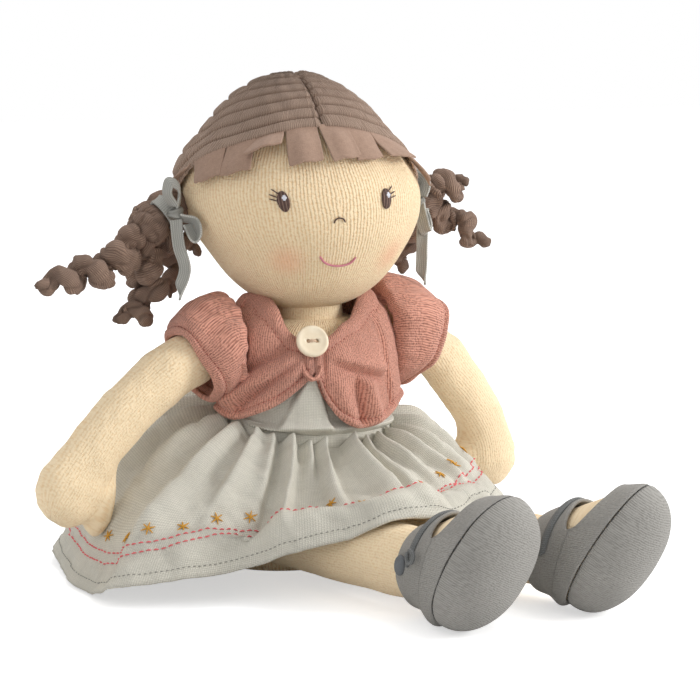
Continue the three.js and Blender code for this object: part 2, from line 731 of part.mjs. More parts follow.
const skirtOuter = [
  skirtTurns.map((turn) => skirtTop(turn, waistLift + linen)),
  ...skirtRowShares.map((fall, row) => skirtTurns.map((turn) => {
    const shares = skirtProfile(turn);
    const reach = shares[2 * row] * skirtReach + foldAt(turn, fall);
    const angle = radians(turn);
    const height = shares[2 * row + 1] * skirtReach;
    return clearOfLegs(point(reach * Math.sin(angle), -reach * Math.cos(angle), height));
  })),
];
const skirtInner = skirtOuter.map((row, i) => row.map((p, j) => {
  const below = skirtOuter[Math.min(i + 1, skirtOuter.length - 1)][j];
  const above = skirtOuter[Math.max(i - 1, 0)][j];
  const after = row[(j + 1) % row.length];
  const before = row[(j + row.length - 1) % row.length];
  const outward = below.clone().sub(above).cross(after.clone().sub(before)).normalize();
  return p.clone().addScaledVector(outward, -linen);
}));
place('dress_skirt', sheet(skirtOuter, skirtInner, true), finishes.linen);

// Jacket: a back, two curved fronts and two short sleeves that turn with the arms
const jacketLift = waistLift + linen + seam;
const jacketTopShare = 0.975;
const sideSeamTurn = 90;
const seamTurn = 360 / torsoColumns / 10;

const jacketRows = 5;
const jacketFlare = (turn, rise) => jacketLift + velour * (1 - rise) ** 2;
place('jacket_back', trimForArms(torsoSheet(
  turnsBetween(sideSeamTurn, 360 - sideSeamTurn), jacketRows, () => shareAt(backHem), () => jacketTopShare,
  jacketFlare, velour, false,
)), finishes.velour);

// Each front: turn, lower edge and upper edge as shares of the torso's height
const frontShares = {
  right: [[-90, 0.635, 0.985], [-73, 0.61, 0.985], [-49, 0.66, 0.955], [-38, 0.7, 0.925], [-20, 0.805, 0.895]],
  left: [
    [-18, 0.775, 0.9], [-6, 0.625, 0.93], [2, 0.585, 0.95], [12, 0.57, 0.965], [36, 0.605, 0.985],
    [60, 0.65, 0.985], [90, 0.67, 0.985],
  ],
};
for (const [side] of sides) {
  const rows = frontShares[side];
  const edge = smoothTable(rows);
  const turns = turnsBetween(rows[0][0], rows.at(-1)[0]).map((turn) => (
    Math.abs(turn) === sideSeamTurn ? turn - Math.sign(turn) * seamTurn : turn
  ));
  place(`jacket_front_${side}`, trimForArms(torsoSheet(
    turns, jacketRows, (turn) => edge(turn)[0], (turn) => edge(turn)[1], jacketFlare, velour, false,
  )), finishes.velour);
}

// Sleeves: short and full, gathered into the armhole; each follows its arm
const sleeveShares = [
  // place along the sleeve and radius, as shares
  [0, 0.78], [0.3, 1], [0.65, 1], [1, 0.82],
];
for (const [side, way] of sides) {
  const { radius, reach } = sleeves[side];
  const shoulder = shoulderOf(way);
  const start = shoulder.clone().setX(way * (armholeOut + seam) + torsoLean);
  const arm = armPath(side, way);
  const onArm = (distance) => arm.getPointAt(distance / arm.getLength());
  const path = new THREE.CatmullRomCurve3([start, shoulder, onArm(reach / 2), onArm(reach)]);
  const size = (share, grow) => share * radius + grow;
  const rows = (grow) => sleeveShares.map(([at, share]) => [at, size(share, grow), size(share, grow)]);
  const rings = (grow) => ringsRound(path, rows(grow), up, sleeveSides);
  place(`jacket_sleeve_${side}`, cut(
    loft(rings(0)), loft(throughEnds(rings(-velour), velour)), beyond(start, point(-way, 0, 0)),
  ), finishes.velour);
}

// Button with two holes, the thread through them, and the loop below
const buttonTurn = -22;
const buttonShare = 0.9;
const buttonLift = jacketLift + velour + seam;
const buttonBase = torsoPoint(buttonShare, buttonTurn, buttonLift + looseSeam);
const buttonOut = torsoPoint(buttonShare, buttonTurn, buttonLift + velour).sub(buttonBase).normalize();
const buttonTurned = new THREE.Quaternion().setFromUnitVectors(up, buttonOut);
const onButton = (geometry, height) => geometry.applyQuaternion(buttonTurned).translate(
  buttonBase.x + buttonOut.x * height,
  buttonBase.y + buttonOut.y * height,
  buttonBase.z + buttonOut.z * height,
);
const buttonOutline = [
  [0, 0], [0.86, 0], [1, 0.3], [1, 0.7], [0.9, 1], [0.7, 0.86], [0, 0.74],
].map(([r, h]) => new THREE.Vector2(r * buttonRadius, h * buttonThick));
const buttonDishShare = 0.74;
const holeShare = 0.26;
const threadShare = 0.55;
const holeAcross = holeShare * buttonRadius;
const hole = (across) => new THREE.CylinderGeometry(buttonHole, buttonHole, 4 * buttonThick, 8)
  .rotateX(Math.PI / 2).translate(across, 0, 0);
const buttonDisc = new THREE.LatheGeometry(buttonOutline, 2 * limbSides).rotateX(Math.PI / 2);
place('jacket_button', onButton(cut(buttonDisc, hole(-holeAcross), hole(holeAcross)), 0), finishes.shell);

const threadRadius = threadShare * buttonHole;
const threadBar = new THREE.CapsuleGeometry(threadRadius, 2 * holeAcross, 3, 6).rotateZ(Math.PI / 2);
place('button_thread', onButton(
  threadBar, buttonDishShare * buttonThick + threadRadius + seam,
), finishes.thread);

const loopDropShare = 0.09;
const loopLift = buttonLift + loopThread + velour / 2;
const loopCentre = torsoPoint(buttonShare - loopDropShare, buttonTurn, loopLift);
const loopArc = new THREE.ArcCurve(0, 0, loopRadius, radians(160), radians(380));
const loopPath = new THREE.CatmullRomCurve3(loopArc.getPoints(10).map((p) => point(p.x, -p.y, 0)));
const loopSection = new THREE.Shape().absarc(0, 0, loopThread, 0, 2 * Math.PI);
const loopShape = new THREE.ExtrudeGeometry(loopSection, {
  extrudePath: loopPath, steps: 12, curveSegments: 3, bevelEnabled: false,
});
loopShape.rotateX(Math.PI / 2).rotateZ(radians(buttonTurn));
place('jacket_loop', loopShape.translate(loopCentre.x, loopCentre.y, loopCentre.z), finishes.velour);

// Hair cap: two pleated halves that meet on a seam from the forehead over the crown
const capEdge = smoothTable([
  // turn from the face and polar angle of the cap's edge
  [0, 126], [15, 125], [35, 120], [55, 113], [75, 104], [94, 86], [112, 82], [128, 74], [150, 60], [180, 54],
]);
const pleatShare = 0.82;
for (const [side, way] of sides) {
  const turns = Array.from({ length: headColumns / 2 + 1 }, (_, j) => (360 * j) / headColumns);
  const rows = Array.from({ length: pleatCount }, (_, k) => {
    const lip = k > 0 ? pleatLip : 0;
    return [
      [k / pleatCount, capEase + jersey + lip],
      [(k + pleatShare / 2) / pleatCount, capEase + jersey + lip / 2],
      [(k + pleatShare) / pleatCount, capEase + jersey],
    ];
  }).flat();
  rows.push([1, capEase + jersey]);
  const shift = point((way * seam) / 2, 0, 0).applyQuaternion(faceWay);
  const grid = (raised) => rows.map(([rise, grow]) => turns.map((turn) => {
    const edge = capEdge(turn)[0];
    return headPoint(edge + rise * (180 - edge), way * turn, raised ? grow : capEase).add(shift);
  }));
  place(`hair_cap_${side}`, sheet(grid(true), grid(false), false), finishes.hair);
}

// Fringe: one strip of cloth cut into tabs. Each tab has a start and an end turn, a length and a lift
const fringeTabs = [
  [-83, -73, 12, 2], [-72, -61, 15, 2], [-60, -47, 17, 2], [-46, -30, 13, 5], [-29, -8, 21, 2.4],
  [-7, 15, 21, 2.4], [16, 33, 19, 2], [34, 63, 17, 5], [64, 84, 15, 3],
];
const tabShares = [0, 0.1, 0.5, 0.9, 1];
const fringeColumns = fringeTabs.flatMap(([from, to, length, lift]) => tabShares.map((u) => [
  THREE.MathUtils.lerp(from, to, u), u === 0 || u === 1 ? fringeRoot : length, lift,
]));
const fringeRowShares = [0, 0.5, 1];
const fringeGrid = (extra) => fringeRowShares.map((fall) => fringeColumns.map(([turn, length, lift]) => {
  const edge = capEdge(Math.abs(turn))[0] - degreesOnHead(looseSeam);
  const hang = fall * fall * lift;
  return headPoint(edge - degreesOnHead(fall * length), turn, looseSeam + hang + extra);
}));
place('hair_fringe', sheet(fringeGrid(fringeThick), fringeGrid(0), false), finishes.fringe);

// Bunches: gathered cloth stems with curls, each tied by a ribbon
const bunches = {
  right: { turn: -93, polar: 84, way: point(-1, 0.1, -0.7) },
  left: { turn: 110, polar: 79, way: point(1, 0.05, 0.1) },
};

// Least clear gap between far-apart stretches of one tube.
function selfGap(points, radii, skip) {
  let least = Infinity;
  points.forEach((p, i) => {
    for (let k = i + skip; k < points.length; k += 1) {
      least = Math.min(least, p.distanceTo(points[k]) - radii[i] - radii[k]);
    }
  });
  return least;
}

// A curl winds round its path. Its coil opens from the bunch and closes toward a nearly straight tip.
const curlEnds = { coil: 0.12, start: 0.7, tip: 0.6 };
const curlOpening = 3;
function curl(path, turns, size) {
  const steps = turns * curlSteps;
  const frames = path.computeFrenetFrames(steps, false);
  const points = Array.from({ length: steps + 1 }, (_, i) => {
    const u = i / steps;
    const angle = (2 * Math.PI * i) / curlSteps;
    const coil = curlCoil * size * Math.min(1, curlEnds.coil + curlOpening * Math.min(u, 1 - u));
    return path.getPointAt(u)
      .addScaledVector(frames.normals[i], coil * Math.cos(angle))
      .addScaledVector(frames.binormals[i], coil * Math.sin(angle));
  });
  const radii = points.map((_, i) => {
    const u = i / steps;
    const narrow = 1 - (1 - curlEnds.tip) * u ** 3;
    return curlTube * size * narrow * Math.min(1, curlEnds.start + curlOpening * u);
  });
  const rings = points.map((p, i) => {
    const before = points[Math.max(i - 1, 0)];
    const after = points[Math.min(i + 1, steps)];
    const along = after.clone().sub(before).normalize();
    const out = p.clone().sub(path.getPointAt(i / steps));
    const side = point(0, 0, 0).crossVectors(along, out).normalize();
    const rise = point(0, 0, 0).crossVectors(side, along).normalize();
    return Array.from({ length: curlSides }, (_, j) => {
      const angle = (2 * Math.PI * j) / curlSides;
      return p.clone()
        .addScaledVector(side, radii[i] * Math.cos(angle))
        .addScaledVector(rise, radii[i] * Math.sin(angle));
    });
  });
  return { shape: loft(rings), gap: selfGap(points, radii, curlSteps / 2 + 1) };
}

// Each curl: the way in which it leaves the bunch, the places it then winds through, from the middle of the
// full end of the bunch, its size as a share of a full one, and how far off the bunch it starts
const curls = {
  right: [
    [[-0.85, -0.1, -0.5], [[-19, -5, -15], [-36, -8, -21], [-62, -10, -30]], 1.05, 1.6],
    [[0, 0.35, -0.92], [[1, 7, -22], [0, 5, -38], [-14, 1, -45]], 0.95, 0.7],
    [[0.5, 0.72, -0.45], [[21, 21, -14], [22, 25, -36]], 0.9, 0.4],
    [[0.2, 0.95, 0.35], [[24, 31, 3], [41, 34, -18]], 0.85, 1.3],
  ],
  left: [
    [[-0.1, 0, 1], [[1, -3, 15], [11, -4, 15], [19, -5, 13]], 0.72, 2.2],
    [[0.85, 0.1, -0.4], [[15, -1, -8], [24, -3, -15], [33, -5, -20]], 0.85, 2.6],
    [[-0.3, 0.75, -0.6], [[-3, 14, -20], [-2, 16, -36]], 0.85, -0.1],
  ],
};

// A bunch: place along its stem and radius as shares, with the tie at its waist and a full end
const stemShares = [
  [0, 1.1], [0.18, 0.74], [0.36, 0.74], [0.5, 1.1], [0.64, 1.25], [0.8, 1.15], [0.93, 0.8], [1, 0.4],
];
const tieShare = 0.27;
const [bulbShare, bulbRadiusShare] = stemShares[4];
const bandShare = 0.4;
const knotShare = 0.8;

// Ribbon routes from the middle of each knot
const ribbonRoutes = {
  right: {
    upper: [[-1.8, -1, 4], [-6, -2.5, 9], [-5, -4, 14], [0, -4, 12], [1.5, -2.5, 8], [1.5, -1, 4]],
    lower: [[3.4, -3, -1], [7, -7, -3], [8, -9, -9], [5.5, -8, -12], [3.6, -5, -7]],
    tail: [[-1, -2, -5.5], [-0.6, -4, -14], [2, -5, -25], [-3, -5, -38]],
  },
  left: {
    upper: [[1.5, -1, 3.9], [4, 0, 9], [3, 4, 13], [-2, 5, 13], [-3, 1, 9], [-1.8, -1, 3.9]],
    lower: [[-1.3, -6.3, -1], [-3, -8, -6], [-1, -9, -13], [1.8, -8, -10], [1.6, -6.5, -4]],
    tail: [[6.8, -1, -2], [7, -3, -14], [6, -4, -25], [5, -6, -33]],
  },
};
const loopSteps = 14;
const tailSteps = 8;

for (const [side] of sides) {
  const { turn, polar, way: bunchWay } = bunches[side];
  const root = headPoint(polar, turn, capEase + jersey);
  const out = bunchWay.clone().normalize();
  const stem = new THREE.LineCurve3(root, root.clone().addScaledVector(out, bunchLength));
  const stemRows = stemShares.map(([at, share]) => [at, share * bunchRadius, share * bunchRadius]);
  place(`bunch_stem_${side}`, cut(
    limb(stem, stemRows, up, limbSides), loft(headRings(capEase + jersey + looseSeam)),
  ), finishes.hair);

  const bulb = root.clone().addScaledVector(out, bulbShare * bunchLength);
  curls[side].forEach(([lead, places, size, off], index) => {
    const start = point(...lead).setLength(bulbRadiusShare * bunchRadius + off);
    const path = new THREE.CatmullRomCurve3(
      [start, ...places.map((p) => point(...p))].map((p) => p.add(bulb)),
    );
    const turns = Math.max(2, Math.floor(path.getLength() / (curlPitch * size)));
    const { shape, gap } = curl(path, turns, size);
    console.log(`curl_${side}_${index + 1}: ${turns} turns, least gap to itself ${gap.toFixed(2)} mm`);
    place(`curl_${side}_${index + 1}`, shape, finishes.hair);
  });

  const tie = root.clone().addScaledVector(out, tieShare * bunchLength);
  const ringInner = stemShares[1][1] * bunchRadius + looseSeam;
  const ringOuter = ringInner + ribbonThick;
  const halfBand = bandShare * ribbonWidth;
  const bandRing = new THREE.LatheGeometry([
    new THREE.Vector2(ringInner, -halfBand), new THREE.Vector2(ringOuter, -halfBand),
    new THREE.Vector2(ringOuter, halfBand), new THREE.Vector2(ringInner, halfBand),
    new THREE.Vector2(ringInner, -halfBand),
  ], limbSides).rotateX(Math.PI / 2);
  bandRing.applyQuaternion(new THREE.Quaternion().setFromUnitVectors(up, out));
  place(`ribbon_band_${side}`, bandRing.translate(tie.x, tie.y, tie.z), finishes.ribbon);

  const knotRadius = ribbonWidth / 2;
  const knot = tie.clone().add(point(0, -(ringOuter + knotShare * knotRadius + seam), 0));
  const knotShape = new THREE.SphereGeometry(knotRadius, limbSides, limbSides / 2);
  knotShape.scale(knotShare, knotShare, 1);
  place(`ribbon_knot_${side}`, knotShape.translate(knot.x, knot.y, knot.z), finishes.ribbon);

  const { upper, lower, tail } = ribbonRoutes[side];
  const route = (places) => new THREE.CatmullRomCurve3(places.map((p) => point(...p).add(knot)));
  const strip = (name, places, across, steps) => place(
    `${name}_${side}`, band(route(places), across, ribbonWidth, ribbonThick, steps), finishes.ribbon,
  );
  strip('ribbon_loop_upper', upper, point(0.2, -1, 0.1), loopSteps);
  strip('ribbon_loop_lower', lower, point(0, -1, 0.3), loopSteps);
  strip('ribbon_tail', tail, point(1, -0.3, 0), tailSteps);
}

export default doll;
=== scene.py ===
"""Looks of a soft rag doll that sits with its legs out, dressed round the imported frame.

Sizes and places are millimetres in the row frame, and turn to metres only where a mesh is made.
The doll faces -Y, its left side is +X, and turns are degrees from its front toward its left.
"""

import logging
import math
from collections.abc import Sequence
from dataclasses import dataclass, field
from enum import Enum

import bpy
import numpy as np
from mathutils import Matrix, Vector


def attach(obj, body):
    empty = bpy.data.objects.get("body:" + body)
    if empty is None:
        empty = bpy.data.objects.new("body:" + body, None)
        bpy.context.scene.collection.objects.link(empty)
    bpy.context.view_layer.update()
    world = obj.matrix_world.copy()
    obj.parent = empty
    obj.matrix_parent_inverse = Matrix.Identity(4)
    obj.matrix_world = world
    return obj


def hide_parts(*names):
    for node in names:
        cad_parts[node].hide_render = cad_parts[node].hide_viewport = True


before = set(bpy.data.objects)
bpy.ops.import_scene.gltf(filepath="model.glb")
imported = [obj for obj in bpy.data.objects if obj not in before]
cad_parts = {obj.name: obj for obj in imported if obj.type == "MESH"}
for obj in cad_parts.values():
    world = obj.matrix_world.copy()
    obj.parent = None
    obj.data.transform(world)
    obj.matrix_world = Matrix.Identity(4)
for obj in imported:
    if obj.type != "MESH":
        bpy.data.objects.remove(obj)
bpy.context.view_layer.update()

log = logging.getLogger("doll")
MM = 0.001
UV_NAME = "cloth"
SEAM = 0.3
LOOSE_SEAM = 0.6
JERSEY = 1.4
LINEN = 1.2
VELOUR = 2.4
Array = np.ndarray
Rows = Sequence[Sequence[float]]
Piece = bpy.types.Object
Socket = bpy.types.NodeSocket
UP = (0.0, 0.0, 1.0)


class Side(Enum):
    """The doll's own two sides, with the direction of each along X."""

    RIGHT = -1
    LEFT = 1

    @property
    def word(self) -> str:
        """The side's name as the frame's nodes spell it."""
        return self.name.lower()


# Curves, fields and forms


def smooth_step(value: Array) -> Array:
    """Eases 0..1 in and out, and holds it there outside."""
    share = np.clip(value, 0, 1)
    return share * share * (3 - 2 * share)


def along_rows(positions: Sequence[float], values: Array, at: Array) -> Array:
    """Reads a smooth curve through values given at rising positions.

    Args:
        positions: where each value stands.
        values: one value, row or grid for each position.
        at: the positions that are wanted.

    Returns:
        The curve's values at those positions, in an array that starts with the shape of at.
    """
    x, y = np.asarray(positions, float), np.asarray(values, float)
    order = np.arange(len(x))
    before, after = np.maximum(order - 1, 0), np.minimum(order + 1, len(x) - 1)
    tail = (1,) * (y.ndim - 1)
    slope = (y[after] - y[before]) / (x[after] - x[before]).reshape(-1, *tail)
    at = np.asarray(at, float)
    high = np.clip(np.searchsorted(x, at), 1, len(x) - 1)
    low = high - 1
    span = (x[high] - x[low]).reshape(at.shape + tail)
    u = np.clip((at - x[low]).reshape(at.shape + tail) / span, 0, 1)
    u2, u3 = u * u, u**3
    return (
        y[low] * (2 * u3 - 3 * u2 + 1)
        + y[high] * (3 * u2 - 2 * u3)
        + span * (slope[low] * (u3 - 2 * u2 + u) + slope[high] * (u3 - u2))
    )


def table(rows: Rows, at: Array) -> Array:
    """Reads rows of [position, values...] as smooth curves."""
    grid = np.asarray(rows, float)
    return along_rows(grid[:, 0], grid[:, 1:], at)


def round_table(rows: Rows, turn: Array) -> Array:
    """Reads rows that repeat after a full turn.

    Args:
        rows: rows of [turn, values...] within one full turn.
        turn: the turns that are wanted, in degrees.

    Returns:
        The values at those turns.
    """
    grid = np.asarray(rows, float)
    full = np.array([360.0] + [0.0] * (grid.shape[1] - 1))
    whole = np.vstack([grid[-2:] - full, grid, grid[:2] + full])
    return table(whole, grid[0, 0] + np.mod(np.asarray(turn, float) - grid[0, 0], 360))


def path_through(places: Rows, count: int) -> Array:
    """Makes a smooth path through places, with even steps.

    Args:
        places: the places that it passes through.
        count: how many points it gets.

    Returns:
        The points, count by 3.
    """
    points = np.asarray(places, float)
    steps = np.linalg.norm(np.diff(points, axis=0), axis=1) ** 0.5
    knots = np.concatenate([[0], np.cumsum(steps)])
    fine = along_rows(knots, points, np.linspace(0, knots[-1], 40 * len(points)))
    return even_points(fine, count)


def walked_along(points: Array) -> Array:
    """How far along a line each of its points is."""
    return np.concatenate([[0], np.cumsum(np.linalg.norm(np.diff(points, axis=0), axis=1))])


def read_at(at: Array, walked: Array, fields: Array) -> Array:
    """Reads the columns of fields, known at the distances walked, at other distances."""
    return np.stack([np.interp(at, walked, column) for column in fields.T], -1)


def matched(*values: Array | float) -> list[Array]:
    """Gives numbers and arrays one common shape."""
    return list(np.broadcast_arrays(*[np.asarray(value, float) for value in values]))


def stacked(*values: Array) -> Array:
    """Sets arrays side by side in a new last axis, in one common shape."""
    return np.stack(np.broadcast_arrays(*values), -1)


def length_of(points: Array) -> float:
    """The length of a line."""
    return np.linalg.norm(np.diff(points, axis=0), axis=1).sum()


def from_lowest(cloth: Array) -> Array:
    """How far up its own column from the last row each point of a grid is, last row first."""
    steps = np.linalg.norm(np.diff(cloth[::-1], axis=0), axis=-1)
    return np.concatenate([np.zeros((1, cloth.shape[1])), np.cumsum(steps, 0)])


def full_turn(count: int) -> Array:
    """Even angles round a full circle, in radians, without its end."""
    return np.linspace(0, 2 * math.pi, count, endpoint=False)


def circle(angle: Array, first: Array, second: Array) -> Array:
    """Directions round a circle whose axes are two given directions."""
    return np.cos(angle)[..., None] * first + np.sin(angle)[..., None] * second


def even_points(points: Array, count: int) -> Array:
    """Spaces a line's points evenly."""
    walked = walked_along(points)
    return read_at(np.linspace(0, walked[-1], count), walked, points)


def unit(vectors: Array) -> Array:
    """Scales vectors to length one."""
    return vectors / np.maximum(np.linalg.norm(vectors, axis=-1, keepdims=True), 1e-9)


def frames_along(points: Array, across: Array) -> tuple[Array, Array, Array]:
    """Carries a steady cross frame along a path.

    Args:
        points: the path.
        across: roughly the way in which the first frame's side points.

    Returns:
        The tangents, the sides and the third directions at the points.
    """
    tangent = unit(np.gradient(points, axis=0))
    side = np.empty_like(points)
    current = np.asarray(across, float)
    for i, way in enumerate(tangent):
        current = current - way * (current @ way)
        current = current / np.linalg.norm(current)
        side[i] = current
    return tangent, side, np.cross(tangent, side)


def ripple(points: Array, size: float, seed: int) -> Array:
    """A smooth random field over points, mostly within -1..1.

    Args:
        points: the places, with 3 numbers each.
        size: how wide its features are.
        seed: which field it is.

    Returns:
        One number for each place.
    """
    rng = np.random.default_rng(seed)
    ways = unit(rng.normal(size=(9, 3))) * rng.uniform(0.55, 1.5, (9, 1)) * 2 * math.pi / size
    phases = rng.uniform(0, 2 * math.pi, 9)
    return np.sin(points @ ways.T + phases).mean(-1) * 1.8


def crease(points: Array, size: float, seed: int) -> Array:
    """A field with narrow valleys, as where cloth is pinched: 0 on its plains and -1 in a valley."""
    return -np.exp(-((ripple(points, size, seed) / 0.22) ** 2))


@dataclass(frozen=True)
class HeadForm:
    """The head's outer surface, by polar angle from the chin and turn from the face."""

    radius: float = 55.5
    height: float = 174.5
    shift: float = -1.5
    depth_share: float = 0.94
    yaw: float = -9
    # polar angle, then the size and the shift toward its right, as shares of the radius
    shares: tuple[tuple[float, float, float], ...] = (
        (0, 1.02, -0.1), (20, 1.02, -0.1), (36, 1, -0.1), (58, 0.975, -0.095), (76, 1, -0.06),
        (90, 1, -0.03), (105, 0.93, 0), (123, 0.845, 0.01), (146, 0.85, 0.02), (180, 0.9, 0.03),
    )

    def degrees(self, length: float) -> float:
        """How far round the head a length reaches, in degrees."""
        return math.degrees(length / self.radius)

    def point(self, polar: Array, turn: Array, grow: Array = 0.0) -> Array:
        """Points on the head.

        Args:
            polar: degrees from the chin's pole.
            turn: degrees from the face toward the left.
            grow: how far the points stand off the skin.

        Returns:
            The points, with 3 numbers in the last axis.
        """
        polar, turn, grow = matched(polar, turn, grow)
        size = table(self.shares, polar)
        angle, around = np.radians(polar), np.radians(turn)
        way = np.stack([
            np.sin(angle) * np.sin(around),
            -self.depth_share * np.sin(angle) * np.cos(around),
            -np.cos(angle),
        ], -1)
        out = unit(way / np.array([1, self.depth_share**2, 1]))
        place = way * size[..., :1] * self.radius + out * grow[..., None]
        yaw = math.radians(self.yaw)
        turned = np.array([[math.cos(yaw), math.sin(yaw), 0], [-math.sin(yaw), math.cos(yaw), 0], [0, 0, 1]])
        place = place @ turned + np.array([self.shift, 0, self.height])
        place[..., 0] -= size[..., 1] * self.radius
        return place


@dataclass(frozen=True)
class TorsoForm:
    """The body's outer surface, by share of its height and turn from the front."""

    height: float = 115
    half_width: float = 42
    half_depth: float = 34
    lean: float = 5
    waist_height: float = 61
    waist_tilt: float = 5
    waist_lean: float = 3.5
    waistband_height: float = 9
    bodice_ease: float = 1.1
    # share of the height, half width and half depth as shares, and shift backward as one of half depth
    shares: tuple[tuple[float, float, float, float], ...] = (
        (0, 0.84, 0.8, 0.12), (0.06, 0.94, 0.91, 0.1), (0.17, 1, 0.99, 0.06), (0.33, 1, 1, 0),
        (0.5, 0.93, 0.94, 0), (0.6, 0.9, 0.91, 0), (0.74, 0.9, 0.88, 0), (0.86, 0.88, 0.83, 0),
        (0.93, 0.8, 0.73, 0), (0.975, 0.6, 0.59, 0), (1, 0.42, 0.48, 0),
    )

    def bare(self, share: Array, turn: Array) -> Array:
        """Points on the body itself, at a share of its height and a turn."""
        size = table(self.shares, share)
        angle = np.radians(turn)
        return np.stack([
            size[..., 0] * self.half_width * np.sin(angle) + self.lean * share,
            size[..., 2] * self.half_depth - size[..., 1] * self.half_depth * np.cos(angle),
            share * self.height,
        ], -1)

    def point(self, share: Array, turn: Array, grow: Array = 0.0) -> Array:
        """Points on the body or off it.

        Args:
            share: share of the body's height.
            turn: degrees from the front toward the left.
            grow: how far the points stand off the body.

        Returns:
            The points, with 3 numbers in the last axis.
        """
        share, turn, grow = matched(share, turn, grow)
        nudge, twist = 0.002, math.degrees(0.002)
        climb = self.bare(np.minimum(share + nudge, 1), turn) - self.bare(np.maximum(share - nudge, 0), turn)
        around = self.bare(share, turn + twist) - self.bare(share, turn - twist)
        return self.bare(share, turn) + unit(np.cross(around, climb)) * grow[..., None]

    def waist(self, turn: Array) -> Array:
        """The height of the waist's seam at a turn."""
        around = np.radians(turn)
        return self.waist_height - self.waist_tilt * np.cos(around) - self.waist_lean * np.sin(around)

    @property
    def waist_lift(self) -> float:
        """How far the waistband's inner face stands off the body."""
        return self.bodice_ease + LINEN + SEAM


HEAD = HeadForm()
TORSO = TorsoForm()

# Meshes


def placed(name: str, data: bpy.types.ID) -> Piece:
    """Makes an object of some data and puts it in the scene.

    Args:
        name: the object's name.
        data: its mesh, lamp or camera data.

    Returns:
        The object.
    """
    piece = bpy.data.objects.new(name, data)
    bpy.context.scene.collection.objects.link(piece)
    return piece


def mesh_piece(name: str, points: Array, faces: list[list[int]], corner_uv: Array | None = None) -> Piece:
    """Makes an object with its place in its mesh.

    Args:
        name: the piece's name.
        points: its points in millimetres.
        faces: its faces, as lists of point numbers.
        corner_uv: a pair of millimetres for each corner of each face, or None.

    Returns:
        The new object, smooth shaded.
    """
    mesh = bpy.data.meshes.new(name)
    mesh.from_pydata((np.asarray(points, float).reshape(-1, 3) * MM).tolist(), [], faces)
    mesh.polygons.foreach_set("use_smooth", np.ones(len(mesh.polygons), bool))
    if corner_uv is not None:
        layer = mesh.uv_layers.new(name=UV_NAME)
        layer.data.foreach_set("uv", np.asarray(corner_uv, np.float32).ravel())
    piece = bpy.data.objects.new(name, mesh)
    bpy.context.scene.collection.objects.link(piece)
    return piece


def flow_uv(points: Array, wrap: bool = False) -> Array:
    """Lays a grid flat: millimetres across along its middle row, and down along its middle column.

    Args:
        points: the grid, rows by columns by 3.
        wrap: whether its last column meets its first.

    Returns:
        Pairs of millimetres, with one more column where the grid wraps.
    """
    rows, columns = points.shape[:2]
    whole = np.concatenate([points, points[:, :1]], 1) if wrap else points
    u, v = walked_along(whole[rows // 2]), walked_along(whole[:, columns // 2])
    if wrap:
        u = u * (round(u[-1]) / u[-1])
    return stacked(u[None, :], v[:, None])


def grid_piece(
    name: str,
    points: Array,
    uv: Array | None = None,
    wrap: bool = False,
    closed: bool = False,
    centre: Sequence[float] | None = None,
    keep: Array | None = None,
) -> Piece:
    """Makes a piece from a grid of points, with its faces turned outward.

    Args:
        name: the piece's name.
        points: rows by columns by 3, in millimetres.
        uv: pairs of millimetres for the grid, one column more where it wraps.
        wrap: whether the last column joins the first.
        closed: whether a fan closes each end.
        centre: a place inside, from which outward is told; the middle of the points if None.
        keep: which faces to make, as rows by columns of faces; all of them if None.

    Returns:
        The new object.
    """
    rows, columns = points.shape[:2]
    uv = flow_uv(points, wrap) if uv is None else uv
    i, j = np.meshgrid(np.arange(rows - 1), np.arange(columns if wrap else columns - 1), indexing="ij")
    after = (j + 1) % columns
    here, below = i * columns, (i + 1) * columns
    quads = np.stack([here + j, here + after, below + after, below + j], -1)
    corners = np.stack([uv[i, j], uv[i, j + 1], uv[i + 1, j + 1], uv[i + 1, j]], 2)
    quads, corners = quads.reshape(-1, 4), corners.reshape(-1, 4, 2)
    if keep is not None:
        quads, corners = quads[keep.ravel()], corners[keep.ravel()]
    flat = points.reshape(-1, 3)
    a, b, c, d = (flat[quads[:, k]] for k in range(4))
    middle = flat.mean(0) if centre is None else np.asarray(centre, float)
    outward = (np.cross(c - a, d - b) * ((a + c) / 2 - middle)).sum() > 0
    faces, corner_uv = quads, corners
    if not outward:
        faces, corner_uv = quads[:, ::-1], corners[:, ::-1]
    face_list, uv_list = faces.tolist(), [corner_uv.reshape(-1, 2)]
    if closed:
        ring = np.arange(columns)
        for row, turned in ((0, True), (rows - 1, False)):
            flat = np.vstack([flat, points[row].mean(0)])
            hub = np.full(columns, len(flat) - 1)
            fan = np.stack([hub, row * columns + ring, row * columns + (ring + 1) % columns], -1)
            turned_uv = np.stack([uv[row, ring], uv[row, ring], uv[row, ring + 1]], 1)
            if turned == outward:
                fan, turned_uv = fan[:, ::-1], turned_uv[:, ::-1]
            face_list += fan.tolist()
            uv_list.append(turned_uv.reshape(-1, 2))
    return mesh_piece(name, flat, face_list, np.concatenate(uv_list))


def settle(piece: Piece) -> Piece:
    """Applies a piece's modifiers to its mesh.

    Args:
        piece: the piece, which keeps its name.

    Returns:
        The same object, with no modifiers.
    """
    graph = bpy.context.evaluated_depsgraph_get()
    made = bpy.data.meshes.new_from_object(
        piece.evaluated_get(graph), preserve_all_data_layers=True, depsgraph=graph
    )
    piece.modifiers.clear()
    piece.data = made
    made.polygons.foreach_set("use_smooth", np.ones(len(made.polygons), bool))
    return piece


